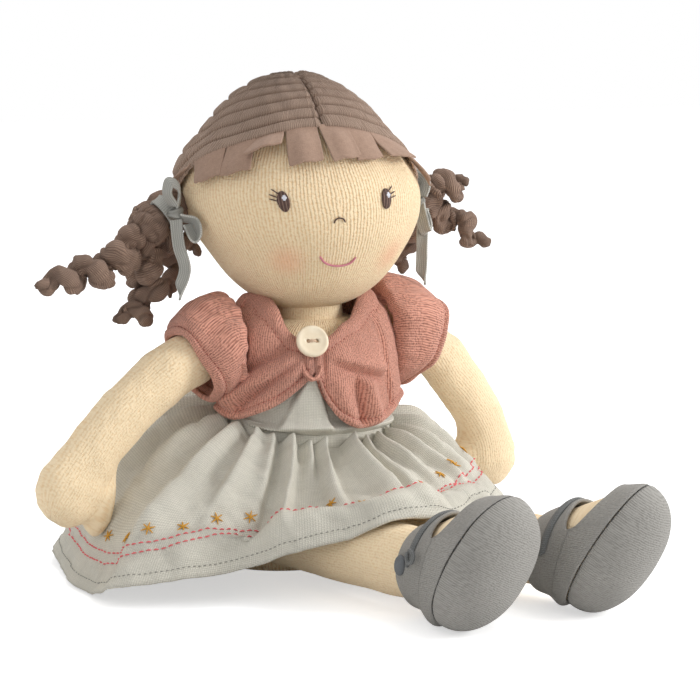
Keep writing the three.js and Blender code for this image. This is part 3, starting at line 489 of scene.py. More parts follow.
def thicken(piece: Piece, thickness: float, rounds: int = 1) -> Piece:
    """Gives a cloth grid its thickness, inward, and rounds its edges.

    Args:
        piece: the cloth as one layer.
        thickness: in millimetres.
        rounds: how many times its faces are halved.

    Returns:
        The same object with a closed mesh.
    """
    solid = piece.modifiers.new("thickness", "SOLIDIFY")
    solid.thickness = thickness * MM
    solid.offset = -1
    if rounds:
        soft = piece.modifiers.new("soft_edges", "SUBSURF")
        soft.levels = soft.render_levels = rounds
    return settle(piece)


def cut_with(piece: Piece, tool: Piece) -> None:
    """Cuts a closed tool out of a closed piece and removes the tool."""
    knife = piece.modifiers.new("cut", "BOOLEAN")
    knife.operation, knife.solver, knife.object = "DIFFERENCE", "EXACT", tool
    settle(piece)
    bpy.data.objects.remove(tool)


def tube_piece(
    name: str, path: Array, radii: Array, sides: int, across: Sequence[float], shape: Array | None = None
) -> Piece:
    """Makes a closed tube with rounded ends along a path.

    Args:
        name: the piece's name.
        path: its centre line.
        radii: its radius at each point.
        sides: how many faces go round it.
        across: roughly the way in which the first side points.
        shape: a factor for each point and side, or None for a round tube.

    Returns:
        The new object, whose map runs round it and along it.
    """
    tangent, side, other = frames_along(path, np.asarray(across, float))
    angle = full_turn(sides)
    size = np.asarray(radii, float)[:, None] * (1 if shape is None else shape)
    ring = path[:, None] + size[..., None] * (
        np.cos(angle)[None, :, None] * side[:, None] + np.sin(angle)[None, :, None] * other[:, None]
    )
    for end, back in ((0, -1), (len(path) - 1, 1)):
        cap = path[end] + tangent[end] * back * radii[end] * 0.55
        ring[end] = cap + (ring[end] - path[end]) * 0.45
    return grid_piece(name, ring, flow_uv(ring, True), wrap=True, closed=True)


def joined(name: str, pieces: Sequence[Piece]) -> Piece:
    """Joins pieces of one finish into one object.

    Args:
        name: the new piece's name.
        pieces: the pieces, which are used up.

    Returns:
        The joined object.
    """
    first = pieces[0]
    if len(pieces) > 1:
        with bpy.context.temp_override(
            active_object=first, selected_editable_objects=list(pieces), selected_objects=list(pieces)
        ):
            bpy.ops.object.join()
    first.name = name
    return first


def soft_copy(name: str, node: str, voxel: float, rounds: int) -> Piece:
    """Copies a CAD node as stuffed cloth: one even skin with its facets smoothed away.

    Args:
        name: the piece's name.
        node: the CAD node.
        voxel: the size of the new skin's faces.
        rounds: how often the skin is smoothed.

    Returns:
        The new object.
    """
    piece = placed(name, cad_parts[node].data.copy())
    piece.data.materials.clear()
    weld = piece.modifiers.new("weld", "WELD")
    weld.merge_threshold = 1e-6
    remesh = piece.modifiers.new("skin", "REMESH")
    remesh.mode, remesh.voxel_size = "VOXEL", voxel * MM
    smooth = piece.modifiers.new("smooth", "SMOOTH")
    smooth.factor, smooth.iterations = 0.5, rounds
    return settle(piece)


def points_of(piece: Piece) -> Array:
    """A mesh piece's points in millimetres."""
    flat = np.zeros(len(piece.data.vertices) * 3, np.float32)
    piece.data.vertices.foreach_get("co", flat)
    return flat.reshape(-1, 3).astype(float) / MM


def normals_of(piece: Piece) -> Array:
    """A mesh piece's point normals."""
    flat = np.zeros(len(piece.data.vertices) * 3, np.float32)
    piece.data.vertices.foreach_get("normal", flat)
    return flat.reshape(-1, 3).astype(float)


def move_points(piece: Piece, points: Array) -> None:
    """Writes a mesh piece's points, in millimetres."""
    piece.data.vertices.foreach_set("co", (points * MM).astype(np.float32).ravel())
    piece.data.update()


def map_points(piece: Piece, pairs: Array) -> None:
    """Gives a piece a cloth map from a pair of millimetres for each point."""
    mesh = piece.data
    corner = np.zeros(len(mesh.loops), np.int32)
    mesh.loops.foreach_get("vertex_index", corner)
    while mesh.uv_layers:
        mesh.uv_layers.remove(mesh.uv_layers[0])
    layer = mesh.uv_layers.new(name=UV_NAME)
    layer.data.foreach_set("uv", pairs[corner].astype(np.float32).ravel())


# Finishes


def linear(colour: Sequence[float]) -> tuple[float, float, float, float]:
    """Turns a colour as it is seen, 0..1, into the shader's scale."""
    scaled = [c / 12.92 if c <= 0.04045 else ((c + 0.055) / 1.055) ** 2.4 for c in colour]
    return (*scaled, 1.0)


class Sheet:
    """A node tree that is filled by short calls."""

    def __init__(self, tree: bpy.types.NodeTree) -> None:
        """Keeps the tree."""
        self.tree = tree

    def add(self, kind: str, inputs: dict | None = None, **settings: object) -> bpy.types.Node:
        """Adds a node.

        Args:
            kind: the node's type name.
            inputs: for each input's name or number, a socket to join to it or a value.
            settings: the node's own properties.

        Returns:
            The node.
        """
        node = self.tree.nodes.new(kind)
        for key, value in settings.items():
            setattr(node, key, value)
        for key, value in (inputs or {}).items():
            if isinstance(value, Socket):
                self.join(value, node.inputs[key])
            else:
                node.inputs[key].default_value = value
        return node

    def join(self, value: Socket, entry: Socket) -> None:
        """Links one node's result to another node's input."""
        self.tree.links.new(value, entry)

    def math(self, operation: str, a: object, b: object = 0.0, c: object = 0.0) -> Socket:
        """Adds a Math node and returns its result."""
        return self.add("ShaderNodeMath", {0: a, 1: b, 2: c}, operation=operation).outputs[0]

    def mix(self, share: object, a: object, b: object) -> Socket:
        """Mixes two colours and returns the result."""
        node = self.add("ShaderNodeMix", {0: share, 6: a, 7: b}, data_type="RGBA")
        return node.outputs[2]

    def noise(self, vector: object, scale: object, detail: float = 2.0) -> Socket:
        """Adds a Noise node and returns its value."""
        return self.add(
            "ShaderNodeTexNoise", {"Vector": vector, "Scale": scale, "Detail": detail, "Roughness": 0.55}
        ).outputs[0]


def new_group(name: str, inputs: Rows, outputs: Rows) -> tuple[Sheet, bpy.types.Node, bpy.types.Node]:
    """Starts a shader node group.

    Args:
        name: the group's name.
        inputs: pairs of an input's name and type.
        outputs: pairs of an output's name and type.

    Returns:
        The tree to fill, its input node and its output node.
    """
    tree = bpy.data.node_groups.new(name, "ShaderNodeTree")
    for label, kind in inputs:
        tree.interface.new_socket(label, in_out="INPUT", socket_type=kind)
    for label, kind in outputs:
        tree.interface.new_socket(label, in_out="OUTPUT", socket_type=kind)
    sheet = Sheet(tree)
    return sheet, sheet.add("NodeGroupInput"), sheet.add("NodeGroupOutput")


FLOAT, VECTOR, COLOUR = "NodeSocketFloat", "NodeSocketVector", "NodeSocketColor"


CLOTH_INPUTS = (("Place", VECTOR), ("Pitch", FLOAT), ("Course", FLOAT))
CLOTH_OUTPUTS = (("Height", FLOAT),)


class Surface(Enum):
    """The cloth structures that the doll shows."""

    WALES = "wales"
    KNIT = "knit"
    WEAVE = "weave"
    NAP = "nap"


class ClothGroups:
    """The shader groups that all cloth finishes share."""

    def __init__(self) -> None:
        """Builds the groups once."""
        self.by_surface = {
            Surface.WALES: self.wales(),
            Surface.KNIT: self.knit(),
            Surface.WEAVE: self.weave(),
            Surface.NAP: self.nap(),
        }
        self.drift = self.colour_drift()

    def wales(self) -> bpy.types.NodeTree:
        """Ridges of cut pile that wander a little, made of short tufts."""
        sheet, start, end = new_group("pile_wales", (*CLOTH_INPUTS, ("Tuft", FLOAT)), CLOTH_OUTPUTS)
        place = start.outputs["Place"]
        split = sheet.add("ShaderNodeSeparateXYZ", {0: place})
        drift = sheet.math("SUBTRACT", sheet.noise(place, 0.05), 0.5)
        shiver = sheet.math("SUBTRACT", sheet.noise(place, 0.6), 0.5)
        u = sheet.math("MULTIPLY_ADD", drift, 3.0, split.outputs[0])
        u = sheet.math("MULTIPLY_ADD", shiver, 0.8, u)
        phase = sheet.math("MULTIPLY", sheet.math("DIVIDE", u, start.outputs["Pitch"]), 2 * math.pi)
        ridge = sheet.math("MULTIPLY_ADD", sheet.math("COSINE", phase), 0.5, 0.5)
        ridge = sheet.math("POWER", ridge, 0.7)
        tufts = sheet.add("ShaderNodeCombineXYZ", {
            0: sheet.math("DIVIDE", split.outputs[0], start.outputs["Pitch"]),
            1: sheet.math("DIVIDE", split.outputs[1], start.outputs["Course"]),
        })
        speck = sheet.noise(tufts.outputs[0], 1.0, 1.5)
        speck = sheet.math("MULTIPLY_ADD", speck, 2.6, -0.35)
        tuft = start.outputs["Tuft"]
        lines = sheet.math("MULTIPLY", ridge, sheet.math("SUBTRACT", 1.0, tuft))
        mixed = sheet.math("MULTIPLY_ADD", speck, tuft, lines)
        both = sheet.math("MULTIPLY", mixed, sheet.math("MULTIPLY_ADD", speck, 0.5, 0.6))
        height = sheet.math("MAXIMUM", sheet.math("MINIMUM", both, 1.0), 0.0)
        sheet.join(height, end.inputs["Height"])
        return sheet.tree

    def knit(self) -> bpy.types.NodeTree:
        """Columns of small V stitches."""
        sheet, start, end = new_group("jersey_knit", CLOTH_INPUTS, CLOTH_OUTPUTS)
        place = start.outputs["Place"]
        split = sheet.add("ShaderNodeSeparateXYZ", {0: place})
        wobble = sheet.math("SUBTRACT", sheet.noise(place, 0.12), 0.5)
        u = sheet.math("MULTIPLY_ADD", wobble, 2.2, split.outputs[0])
        column = sheet.math("FRACT", sheet.math("DIVIDE", u, start.outputs["Pitch"]))
        slope = sheet.math("MULTIPLY", sheet.math("ABSOLUTE", sheet.math("SUBTRACT", column, 0.5)), 2.0)
        row = sheet.math("ADD", sheet.math("DIVIDE", split.outputs[1], start.outputs["Course"]), slope)
        wave = sheet.math("COSINE", sheet.math("MULTIPLY", row, 2 * math.pi))
        loop = sheet.math("MULTIPLY_ADD", wave, 0.3, 0.7)
        edge = sheet.math("SUBTRACT", 1.0, sheet.math("POWER", slope, 3.0))
        sheet.join(sheet.math("MULTIPLY", loop, edge), end.inputs["Height"])
        return sheet.tree

    def weave(self) -> bpy.types.NodeTree:
        """Threads that pass over and under each other, some thicker than others."""
        sheet, start, end = new_group("plain_weave", CLOTH_INPUTS, CLOTH_OUTPUTS)
        place = start.outputs["Place"]
        split = sheet.add("ShaderNodeSeparateXYZ", {0: place})
        waves = []
        for axis, size, stretch in ((0, "Pitch", (0.05, 1.2, 1)), (1, "Course", (1.2, 0.05, 1))):
            long = sheet.add("ShaderNodeMapping", {"Vector": place, "Scale": stretch}).outputs[0]
            slub = sheet.math("MULTIPLY_ADD", sheet.noise(long, 1.0, 1.0), 0.8, 0.4)
            count = sheet.math("DIVIDE", split.outputs[axis], start.outputs[size])
            turn = sheet.math("MULTIPLY", count, math.pi)
            waves.append(sheet.math("MULTIPLY", sheet.math("ABSOLUTE", sheet.math("SINE", turn)), slub))
        cells = sheet.math("ADD", *[
            sheet.math("FLOOR", sheet.math("DIVIDE", split.outputs[k], start.outputs[size]))
            for k, size in ((0, "Pitch"), (1, "Course"))
        ])
        over = sheet.math("MODULO", cells, 2.0)
        chosen = sheet.math("MULTIPLY", waves[0], over)
        chosen = sheet.math("MULTIPLY_ADD", waves[1], sheet.math("SUBTRACT", 1.0, over), chosen)
        sheet.join(chosen, end.inputs["Height"])
        return sheet.tree

    def nap(self) -> bpy.types.NodeTree:
        """Short brushed nap."""
        sheet, start, end = new_group("brushed_nap", CLOTH_INPUTS, CLOTH_OUTPUTS)
        scaled = sheet.add("ShaderNodeVectorMath", {0: start.outputs["Place"]}, operation="SCALE")
        sheet.join(sheet.math("DIVIDE", 1.0, start.outputs["Pitch"]), scaled.inputs["Scale"])
        fine = sheet.noise(scaled.outputs[0], 1.0, 3.0)
        coarse = sheet.noise(scaled.outputs[0], 0.25, 2.0)
        height = sheet.math("MULTIPLY_ADD", coarse, 0.5, sheet.math("MULTIPLY", fine, 0.7))
        sheet.join(height, end.inputs["Height"])
        return sheet.tree

    def colour_drift(self) -> bpy.types.NodeTree:
        """Slow changes of a cloth's lightness over the piece."""
        sheet, start, end = new_group(
            "colour_drift", [("Colour", COLOUR), ("Place", VECTOR), ("Amount", FLOAT)], [("Colour", COLOUR)]
        )
        place = start.outputs["Place"]
        slow = sheet.math("SUBTRACT", sheet.noise(place, 0.035), 0.5)
        fast = sheet.math("SUBTRACT", sheet.noise(place, 0.4), 0.5)
        sway = sheet.math("ADD", slow, sheet.math("MULTIPLY", fast, 0.5))
        value = sheet.math("MULTIPLY_ADD", sway, start.outputs["Amount"], 1.0)
        shifted = sheet.add("ShaderNodeHueSaturation", {"Color": start.outputs["Colour"], "Value": value})
        sheet.join(shifted.outputs[0], end.inputs["Colour"])
        return sheet.tree


@dataclass(frozen=True)
class Blush:
    """A soft patch of another colour round a place."""

    place: tuple[float, float, float]
    radius: float
    colour: tuple[float, float, float]
    strength: float


@dataclass(frozen=True)
class Finish:
    """A cloth or thread finish: its two colours and the structure that they follow; the deep colour is painted
    shade in the grooves of pile, knit and weave, and random tone in a nap.
    """

    name: str
    slot: str
    light: tuple[float, float, float]
    # the colour in the structure's grooves: painted shade there
    deep: tuple[float, float, float]
    surface: Surface
    pitch: float
    course: float
    depth: float
    roughness: float = 0.9
    sheen: float = 0.0
    drift: float = 0.16
    mapped: bool = True
    blushes: tuple[Blush, ...] = ()
    tuft: float = 0.35

    def material(self, groups: ClothGroups) -> bpy.types.Material:
        """Builds the material, once.

        Args:
            groups: the shared shader groups.

        Returns:
            The material.
        """
        found = bpy.data.materials.get(self.name)
        if found:
            return found
        made = bpy.data.materials.new(self.name)
        made.use_nodes = True
        sheet = Sheet(made.node_tree)
        shader = made.node_tree.nodes["Principled BSDF"]
        coordinates = sheet.add("ShaderNodeTexCoord")
        body = sheet.add("ShaderNodeVectorMath", {0: coordinates.outputs["Object"]}, operation="SCALE")
        body.inputs["Scale"].default_value = 1 / MM
        place = body.outputs[0]
        if self.mapped:
            place = sheet.add("ShaderNodeUVMap", uv_map=UV_NAME).outputs[0]
        cloth = sheet.add("ShaderNodeGroup", node_tree=groups.by_surface[self.surface])
        sheet.join(place, cloth.inputs["Place"])
        cloth.inputs["Pitch"].default_value = self.pitch
        cloth.inputs["Course"].default_value = self.course
        if self.surface is Surface.WALES:
            cloth.inputs["Tuft"].default_value = self.tuft
        height = cloth.outputs["Height"]
        # painted shade: the deep colour fills the grooves of the cloth's structure and the light colour its ridges
        colour = sheet.mix(height, linear(self.deep), linear(self.light))
        for patch in self.blushes:
            ends = {0: body.outputs[0], 1: patch.place}
            gap = sheet.add("ShaderNodeVectorMath", ends, operation="DISTANCE")
            near = sheet.add("ShaderNodeMapRange", {
                "Value": gap.outputs["Value"], "From Min": 0.0, "From Max": patch.radius,
                "To Min": patch.strength, "To Max": 0.0,
            }, interpolation_type="SMOOTHSTEP")
            colour = sheet.mix(near.outputs[0], colour, linear(patch.colour))
        drifted = sheet.add("ShaderNodeGroup", node_tree=groups.drift)
        sheet.join(colour, drifted.inputs["Colour"])
        sheet.join(body.outputs[0], drifted.inputs["Place"])
        drifted.inputs["Amount"].default_value = self.drift
        sheet.join(drifted.outputs["Colour"], shader.inputs["Base Color"])
        bump = sheet.add("ShaderNodeBump", {"Height": height, "Strength": 1.0, "Distance": self.depth * MM})
        sheet.join(bump.outputs[0], shader.inputs["Normal"])
        shader.inputs["Roughness"].default_value = self.roughness
        shader.inputs["Sheen Weight"].default_value = self.sheen
        shader.inputs["Sheen Roughness"].default_value = 0.5
        shader.inputs["Specular IOR Level"].default_value = 0.25
        return made


CHEEKS = (HEAD.point(56, -30), HEAD.point(57, 38))
# each finish gives its light colour, then its deep colour, which is painted shade in the grooves of its structure
SKIN_LIGHT, SKIN_DEEP = (0.965, 0.88, 0.74), (0.90, 0.745, 0.545)
BLUSH_COLOUR = (0.94, 0.71, 0.57)
HEAD_SKIN = Finish(
    "head_velour", "skin", SKIN_LIGHT, SKIN_DEEP, Surface.WALES, 1.7, 1.1, 0.55, 0.92, 0.12, 0.1,
    blushes=tuple(Blush(tuple(c), 13.0, BLUSH_COLOUR, 0.6) for c in CHEEKS),
)
LIMB_SKIN = Finish(
    "limb_velour", "skin", SKIN_LIGHT, (0.915, 0.785, 0.605), Surface.WALES, 1.25, 1.0, 0.34, 0.92,
    0.12, 0.1,
    tuft=0.5,
)
BODY_CLOTH = Finish(
    "body_velour", "inner_body", SKIN_LIGHT, SKIN_DEEP, Surface.WALES, 1.7, 1.1, 0.5, 0.92, 0.12, 0.1
)
LINEN_CLOTH = Finish(
    "dress_linen", "linen", (0.91, 0.895, 0.845), (0.735, 0.72, 0.67), Surface.WEAVE, 0.75, 0.75, 0.2, 0.95,
    0.05, 0.24,
)
VELOUR_CLOTH = Finish(
    "jacket_velour", "velour", (0.87, 0.63, 0.55), (0.57, 0.345, 0.285), Surface.WALES, 1.2, 0.65, 0.65,
    0.95,
    0.18, 0.3, tuft=0.42,
)
HAIR_CLOTH = Finish(
    "hair_jersey", "hair", (0.80, 0.69, 0.61), (0.49, 0.395, 0.34),
    Surface.KNIT, 1.0, 0.8, 0.4, 0.95, 0.1, 0.2,
)
CURL_CLOTH = Finish(
    "curl_jersey", "hair", (0.70, 0.585, 0.51), (0.40, 0.32, 0.275), Surface.KNIT, 0.95, 0.8, 0.4, 0.95,
    0.06,
    0.3,
)
FRINGE_CLOTH = Finish(
    "fringe_nap", "fringe", (0.69, 0.575, 0.50), (0.49, 0.395, 0.34),
    Surface.NAP, 0.55, 1.0, 0.25, 0.97, 0.1, 0.16,
)
RIBBON_CLOTH = Finish(
    "ribbon_knit", "ribbon", (0.80, 0.795, 0.765), (0.56, 0.555, 0.53),
    Surface.KNIT, 1.1, 0.9, 0.3, 0.92, 0.05, 0.1,
)
SHOE_CLOTH = Finish(
    "shoe_jersey", "shoe", (0.62, 0.61, 0.59), (0.50, 0.49, 0.47),
    Surface.WALES, 0.9, 0.8, 0.2, 0.95, 0.08, 0.2,
)
STRAP_CLOTH = Finish(
    "strap_jersey", "strap", (0.54, 0.545, 0.54), (0.40, 0.405, 0.405),
    Surface.KNIT, 0.9, 0.8, 0.25, 0.95, 0.05, 0.1,
)
STUD_CLOTH = Finish(
    "stud_jersey", "strap", (0.47, 0.48, 0.49), (0.36, 0.37, 0.38),
    Surface.NAP, 0.6, 0.8, 0.15, 0.95, mapped=False,
)

def thread_finish(
    name: str,
    slot: str,
    light: Sequence[float],
    deep: Sequence[float],
    roughness: float,
    depth: float = 0.05,
) -> Finish:
    """A thread's finish: a fine nap that needs no map."""
    return Finish(name, slot, light, deep, Surface.NAP, 0.3, 1.0, depth, roughness, mapped=False)


# painted sheen: a lighter copy of the eye thread that shows the satin stitches' shine
EYE_SHEEN = thread_finish("eye_sheen", "thread", (0.60, 0.49, 0.44), (0.40, 0.31, 0.27), 0.42)
EYE_THREAD = thread_finish("eye_thread", "thread", (0.40, 0.31, 0.28), (0.24, 0.17, 0.15), 0.42)
GLINT_THREAD = thread_finish("glint_thread", "thread", (0.93, 0.93, 0.95), (0.80, 0.80, 0.84), 0.5, 0.04)
MOUTH_THREAD = thread_finish("mouth_thread", "mouth", (0.84, 0.56, 0.60), (0.70, 0.40, 0.46), 0.5)
PINK_THREAD = thread_finish("pink_thread", "mouth", (0.92, 0.47, 0.48), (0.80, 0.33, 0.36), 0.6)
GOLD_THREAD = thread_finish("gold_thread", "thread", (0.87, 0.66, 0.27), (0.68, 0.46, 0.12), 0.5)
ROSE_THREAD = thread_finish("rose_thread", "velour", (0.70, 0.42, 0.37), (0.56, 0.31, 0.27), 0.8)
GREY_THREAD = thread_finish("grey_thread", "linen", (0.58, 0.575, 0.54), (0.47, 0.465, 0.44), 0.8)
SEAM_THREAD = thread_finish("seam_thread", "shoe", (0.33, 0.33, 0.33), (0.22, 0.22, 0.22), 0.9)
HOLE_THREAD = thread_finish("hole_thread", "thread", (0.86, 0.76, 0.66), (0.66, 0.52, 0.42), 0.7)
SHELL = Finish(
    "button_shell", "shell", (0.965, 0.925, 0.84), (0.88, 0.79, 0.65), Surface.NAP, 5.0, 1.0, 0.03,
    0.28, 0.0, 0.12,
    mapped=False,
)


@dataclass
class Wardrobe:
    """Puts finishes on pieces and pieces on the frame's bodies."""

    groups: ClothGroups = field(default_factory=ClothGroups)

    def dress(
        self, piece: Piece, finish: Finish, body: str, *nodes: str, padded: float | None = None
    ) -> None:
        """Finishes a piece.

        Args:
            piece: the piece, with its mesh final.
            finish: what it is made of.
            body: the frame's body that it moves with.
            nodes: the CAD nodes that it stands for.
            padded: how full it is stuffed, or None; not used.
        """
        piece.data.materials.clear()
        piece.data.materials.append(finish.material(self.groups))
        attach(piece, body)
        if nodes:
            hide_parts(*nodes)
        log.info("%s: %d faces", piece.name, len(piece.data.polygons))


# Stitches


class StitchMaker:
    """Turns guide lines into threads with one Geometry Nodes tree."""

    def __init__(self) -> None:
        """Builds the tree with its named inputs."""
        tree = bpy.data.node_groups.new("thread_stitches", "GeometryNodeTree")
        for label, kind in (
            ("Guide", "NodeSocketGeometry"), ("Radius", FLOAT), ("End share", FLOAT),
            ("Steps", "NodeSocketInt"),
            ("Sides", "NodeSocketInt"), ("Thread", "NodeSocketMaterial"),
        ):
            tree.interface.new_socket(label, in_out="INPUT", socket_type=kind)
        tree.interface.new_socket("Threads", in_out="OUTPUT", socket_type="NodeSocketGeometry")
        self.tree = tree
        self.inputs = {
            item.name: item.identifier for item in tree.interface.items_tree if item.in_out == "INPUT"
        }
        sheet = Sheet(tree)
        start = sheet.add("NodeGroupInput")
        curve = sheet.add("GeometryNodeMeshToCurve", {0: start.outputs["Guide"]})
        even = sheet.add("GeometryNodeResampleCurve", {
            "Curve": curve.outputs[0], "Count": start.outputs["Steps"],
        })
        share = sheet.add("GeometryNodeSplineParameter").outputs["Factor"]
        arch = sheet.math("SINE", sheet.math("MULTIPLY", share, math.pi))
        swell = sheet.math("POWER", sheet.math("MAXIMUM", arch, 0.0), 0.5)
        spare = sheet.math("SUBTRACT", 1.0, start.outputs["End share"])
        width = sheet.math("MULTIPLY_ADD", swell, spare, start.outputs["End share"])
        sized = sheet.add("GeometryNodeSetCurveRadius", {"Curve": even.outputs[0], "Radius": width})
        ring = sheet.add("GeometryNodeCurvePrimitiveCircle", {
            "Resolution": start.outputs["Sides"], "Radius": start.outputs["Radius"],
        })
        threads = sheet.add("GeometryNodeCurveToMesh", {
            "Curve": sized.outputs[0], "Profile Curve": ring.outputs[0], "Fill Caps": True,
        })
        tree.links.new(width, threads.inputs["Scale"])
        real = sheet.add("GeometryNodeRealizeInstances", {0: threads.outputs[0]})
        smooth = sheet.add("GeometryNodeSetShadeSmooth", {"Geometry": real.outputs[0], "Shade Smooth": True})
        done = sheet.add("GeometryNodeSetMaterial", {
            "Geometry": smooth.outputs[0], "Material": start.outputs["Thread"],
        })
        end = sheet.add("NodeGroupOutput")
        tree.links.new(done.outputs[0], end.inputs["Threads"])

    def make(
        self,
        name: str,
        lines: Sequence[Array],
        radius: float,
        material: bpy.types.Material,
        end_share: float = 0.35,
        steps: int = 5,
        sides: int = 6,
    ) -> Piece:
        """Makes one thread along each guide line.

        Args:
            name: the piece's name.
            lines: the guide lines, each a few points.
            radius: the thread's radius in its middle.
            material: the thread's material.
            end_share: how thick a thread is at its ends, as a share of its middle.
            steps: points along each thread.
            sides: faces round each thread.

        Returns:
            The threads as one plain mesh.
        """
        mesh = bpy.data.meshes.new(name)
        points = np.concatenate([np.asarray(line, float) for line in lines]) * MM
        edges, base = [], 0
        for line in lines:
            edges += [(base + k, base + k + 1) for k in range(len(line) - 1)]
            base += len(line)
        mesh.from_pydata(points.tolist(), edges, [])
        guide = placed(name + "_guide", mesh)
        maker = guide.modifiers.new("threads", "NODES")
        maker.node_group = self.tree
        for label, value in (
            ("Radius", radius * MM), ("End share", end_share), ("Steps", steps), ("Sides", sides),
            ("Thread", material),
        ):
            maker[self.inputs[label]] = value
        graph = bpy.context.evaluated_depsgraph_get()
        made = bpy.data.meshes.new_from_object(guide.evaluated_get(graph), depsgraph=graph)
        bpy.data.objects.remove(guide)
        return placed(name, made)

    def sew(
        self,
        wardrobe: Wardrobe,
        name: str,
        lines: Sequence[Array],
        radius: float,
        finish: Finish,
        places: Sequence[str],
        end_share: float = 0.35,
        steps: int = 5,
    ) -> None:
        """Makes threads along guide lines and dresses them.

        Args:
            wardrobe: what dresses the threads.
            name: the piece's name.
            lines: the guide lines.
            radius: the thread's radius in its middle.
            finish: what the thread is made of.
            places: the body that it moves with, then the CAD nodes that it stands for.
            end_share: how thick a thread is at its ends, as a share of its middle.
            steps: points along each thread.
        """
        threads = self.make(name, lines, radius, finish.material(wardrobe.groups), end_share, steps)
        wardrobe.dress(threads, finish, *places)


def running_stitches(path: Array, normal: Array, length: float, gap: float, lift: float) -> list[Array]:
    """Splits a line on cloth into running stitches.

    Args:
        path: the line's points on the cloth.
        normal: the cloth's outward direction at each point.
        length: how long a stitch is.
        gap: how far the thread stays under the cloth.
        lift: how high a stitch's middle stands over the cloth.

    Returns:
        One guide line of three points for each stitch.
    """
    walked = walked_along(path)
    starts = np.arange(gap / 2, walked[-1] - length, length + gap)
    fields = np.concatenate([path, normal], 1)
    lines = []
    for start in starts:
        at = np.array([start, start + length / 2, start + length])
        here = read_at(at, walked, fields)
        lines.append(here[:, :3] + here[:, 3:] * np.array([[-lift / 3], [lift], [-lift / 3]]))
    return lines


def grid_normals(points: Array, centre: Sequence[float], wrap: bool = False) -> Array:
    """Outward directions over a grid of points.

    Args:
        points: rows by columns by 3.
        centre: a place inside.
        wrap: whether the last column joins the first.

    Returns:
        One direction for each point.
    """
    if wrap:
        whole = np.concatenate([points[:, -1:], points, points[:, :1]], 1)
        across = np.gradient(whole, axis=1)[:, 1:-1]
    else:
        across = np.gradient(points, axis=1)
    normal = unit(np.cross(np.gradient(points, axis=0), across))
    facing = np.sign((normal * (points - np.asarray(centre, float))).sum(-1).mean())
    return normal * (facing if facing else 1)


# The doll


@dataclass
class Limbs:
    """Arms and legs of stuffed velour."""

    wardrobe: Wardrobe
    shoulder_out: float = 48
    shoulder_height: float = 105
    arm_length: float = 110
    hip_out: float = 22.5
    hip_height: float = 21.5
    arm_radius: float = 12
    leg_radius: float = 16.5
    voxel: float = 1.6
    hip_forward: dict[Side, float] = field(default_factory=lambda: {Side.RIGHT: 23, Side.LEFT: 31})
    leg_yaw: dict[Side, float] = field(default_factory=lambda: {Side.RIGHT: 10, Side.LEFT: 19})
    arm_shares: dict[Side, Rows] = field(default_factory=lambda: {
        Side.RIGHT: ((0, 0, 0), (-0.31, -0.02, -0.155), (-0.555, -0.036, -0.377), (-0.765, -0.055, -0.66)),
        Side.LEFT: (
            (0, 0, 0), (0.14, 0, -0.04), (0.267, 0.036, -0.18), (0.52, 0.145, -0.44), (0.61, 0.218, -0.66),
            (0.624, 0.218, -0.78),
        ),
    })

    def shoulder(self, side: Side) -> Array:
        """The middle of a shoulder."""
        return np.array([side.value * self.shoulder_out + TORSO.lean, 0, self.shoulder_height])

    def hip(self, side: Side) -> Array:
        """The middle of a hip."""
        return np.array([side.value * self.hip_out, -self.hip_forward[side], self.hip_height])

    def leg_way(self, side: Side) -> Array:
        """The way in which a leg lies, away from the body."""
        yaw = math.radians(self.leg_yaw[side])
        return np.array([math.sin(yaw), -math.cos(yaw), 0])

    def arm_path(self, side: Side, count: int = 120) -> Array:
        """The arm's centre line from the shoulder to the fingers."""
        places = np.asarray(self.arm_shares[side]) * self.arm_length + self.shoulder(side)
        return path_through(places, count)

    def build_arm(self, side: Side) -> None:
        """Makes one arm with its mitten hand.

        Args:
            side: which arm.
        """
        name = f"arm_{side.word}"
        piece = soft_copy(f"stuffed_{name}", name, self.voxel, 6)
        points, normals = points_of(piece), normals_of(piece)
        path = self.arm_path(side)
        gaps = np.linalg.norm(points[:, None] - path[None], axis=-1)
        share = gaps.argmin(1) / (len(path) - 1)
        swell = 0.55 + 0.5 * ripple(points, 26, 3) + 0.25 * ripple(points, 9, 4)
        move_points(piece, points + normals * swell[:, None])
        away = points - path[gaps.argmin(1)]
        way = unit(np.gradient(path, axis=0))[gaps.argmin(1)]
        past = (away * way).sum(-1)
        top = unit(np.array(UP) + np.array([0.6, 0, 0]) * side.value - way * way[:, 2:])
        toward_top = (unit(away - past[:, None] * way) * top).sum(-1)
        around = np.arccos(np.clip(toward_top, -1, 1)) * self.arm_radius
        map_points(piece, np.stack([around, share * self.arm_length + past], -1))
        self.wardrobe.dress(piece, LIMB_SKIN, name, name, padded=0.8)

    def build_leg(self, side: Side) -> None:
        """Makes one leg with the foot inside its shoe.

        Args:
            side: which leg.
        """
        name = f"leg_{side.word}"
        piece = soft_copy(f"stuffed_{name}", name, self.voxel, 12)
        points, normals = points_of(piece), normals_of(piece)
        way, hip = self.leg_way(side), self.hip(side)
        along = (points - hip) @ way
        wrinkle = 0.4 * np.sin(along / 5.5 + 1.5 * ripple(points, 30, 8)) * smooth_step((along - 20) / 30)
        swell = 0.3 + 0.4 * ripple(points, 24, 5) + 0.5 * wrinkle
        swell *= 1 - smooth_step((along - 95) / 10)
        move_points(piece, points + normals * swell[:, None])
        height = np.clip((points[:, 2] - hip[2]) / self.leg_radius, -1, 1)
        map_points(piece, np.stack([np.arccos(height) * self.leg_radius, along], -1))
        self.wardrobe.dress(piece, LIMB_SKIN, name, name, padded=0.85)

    def build(self) -> None:
        """Makes both arms and both legs."""
        for side in Side:
            self.build_arm(side)
            self.build_leg(side)


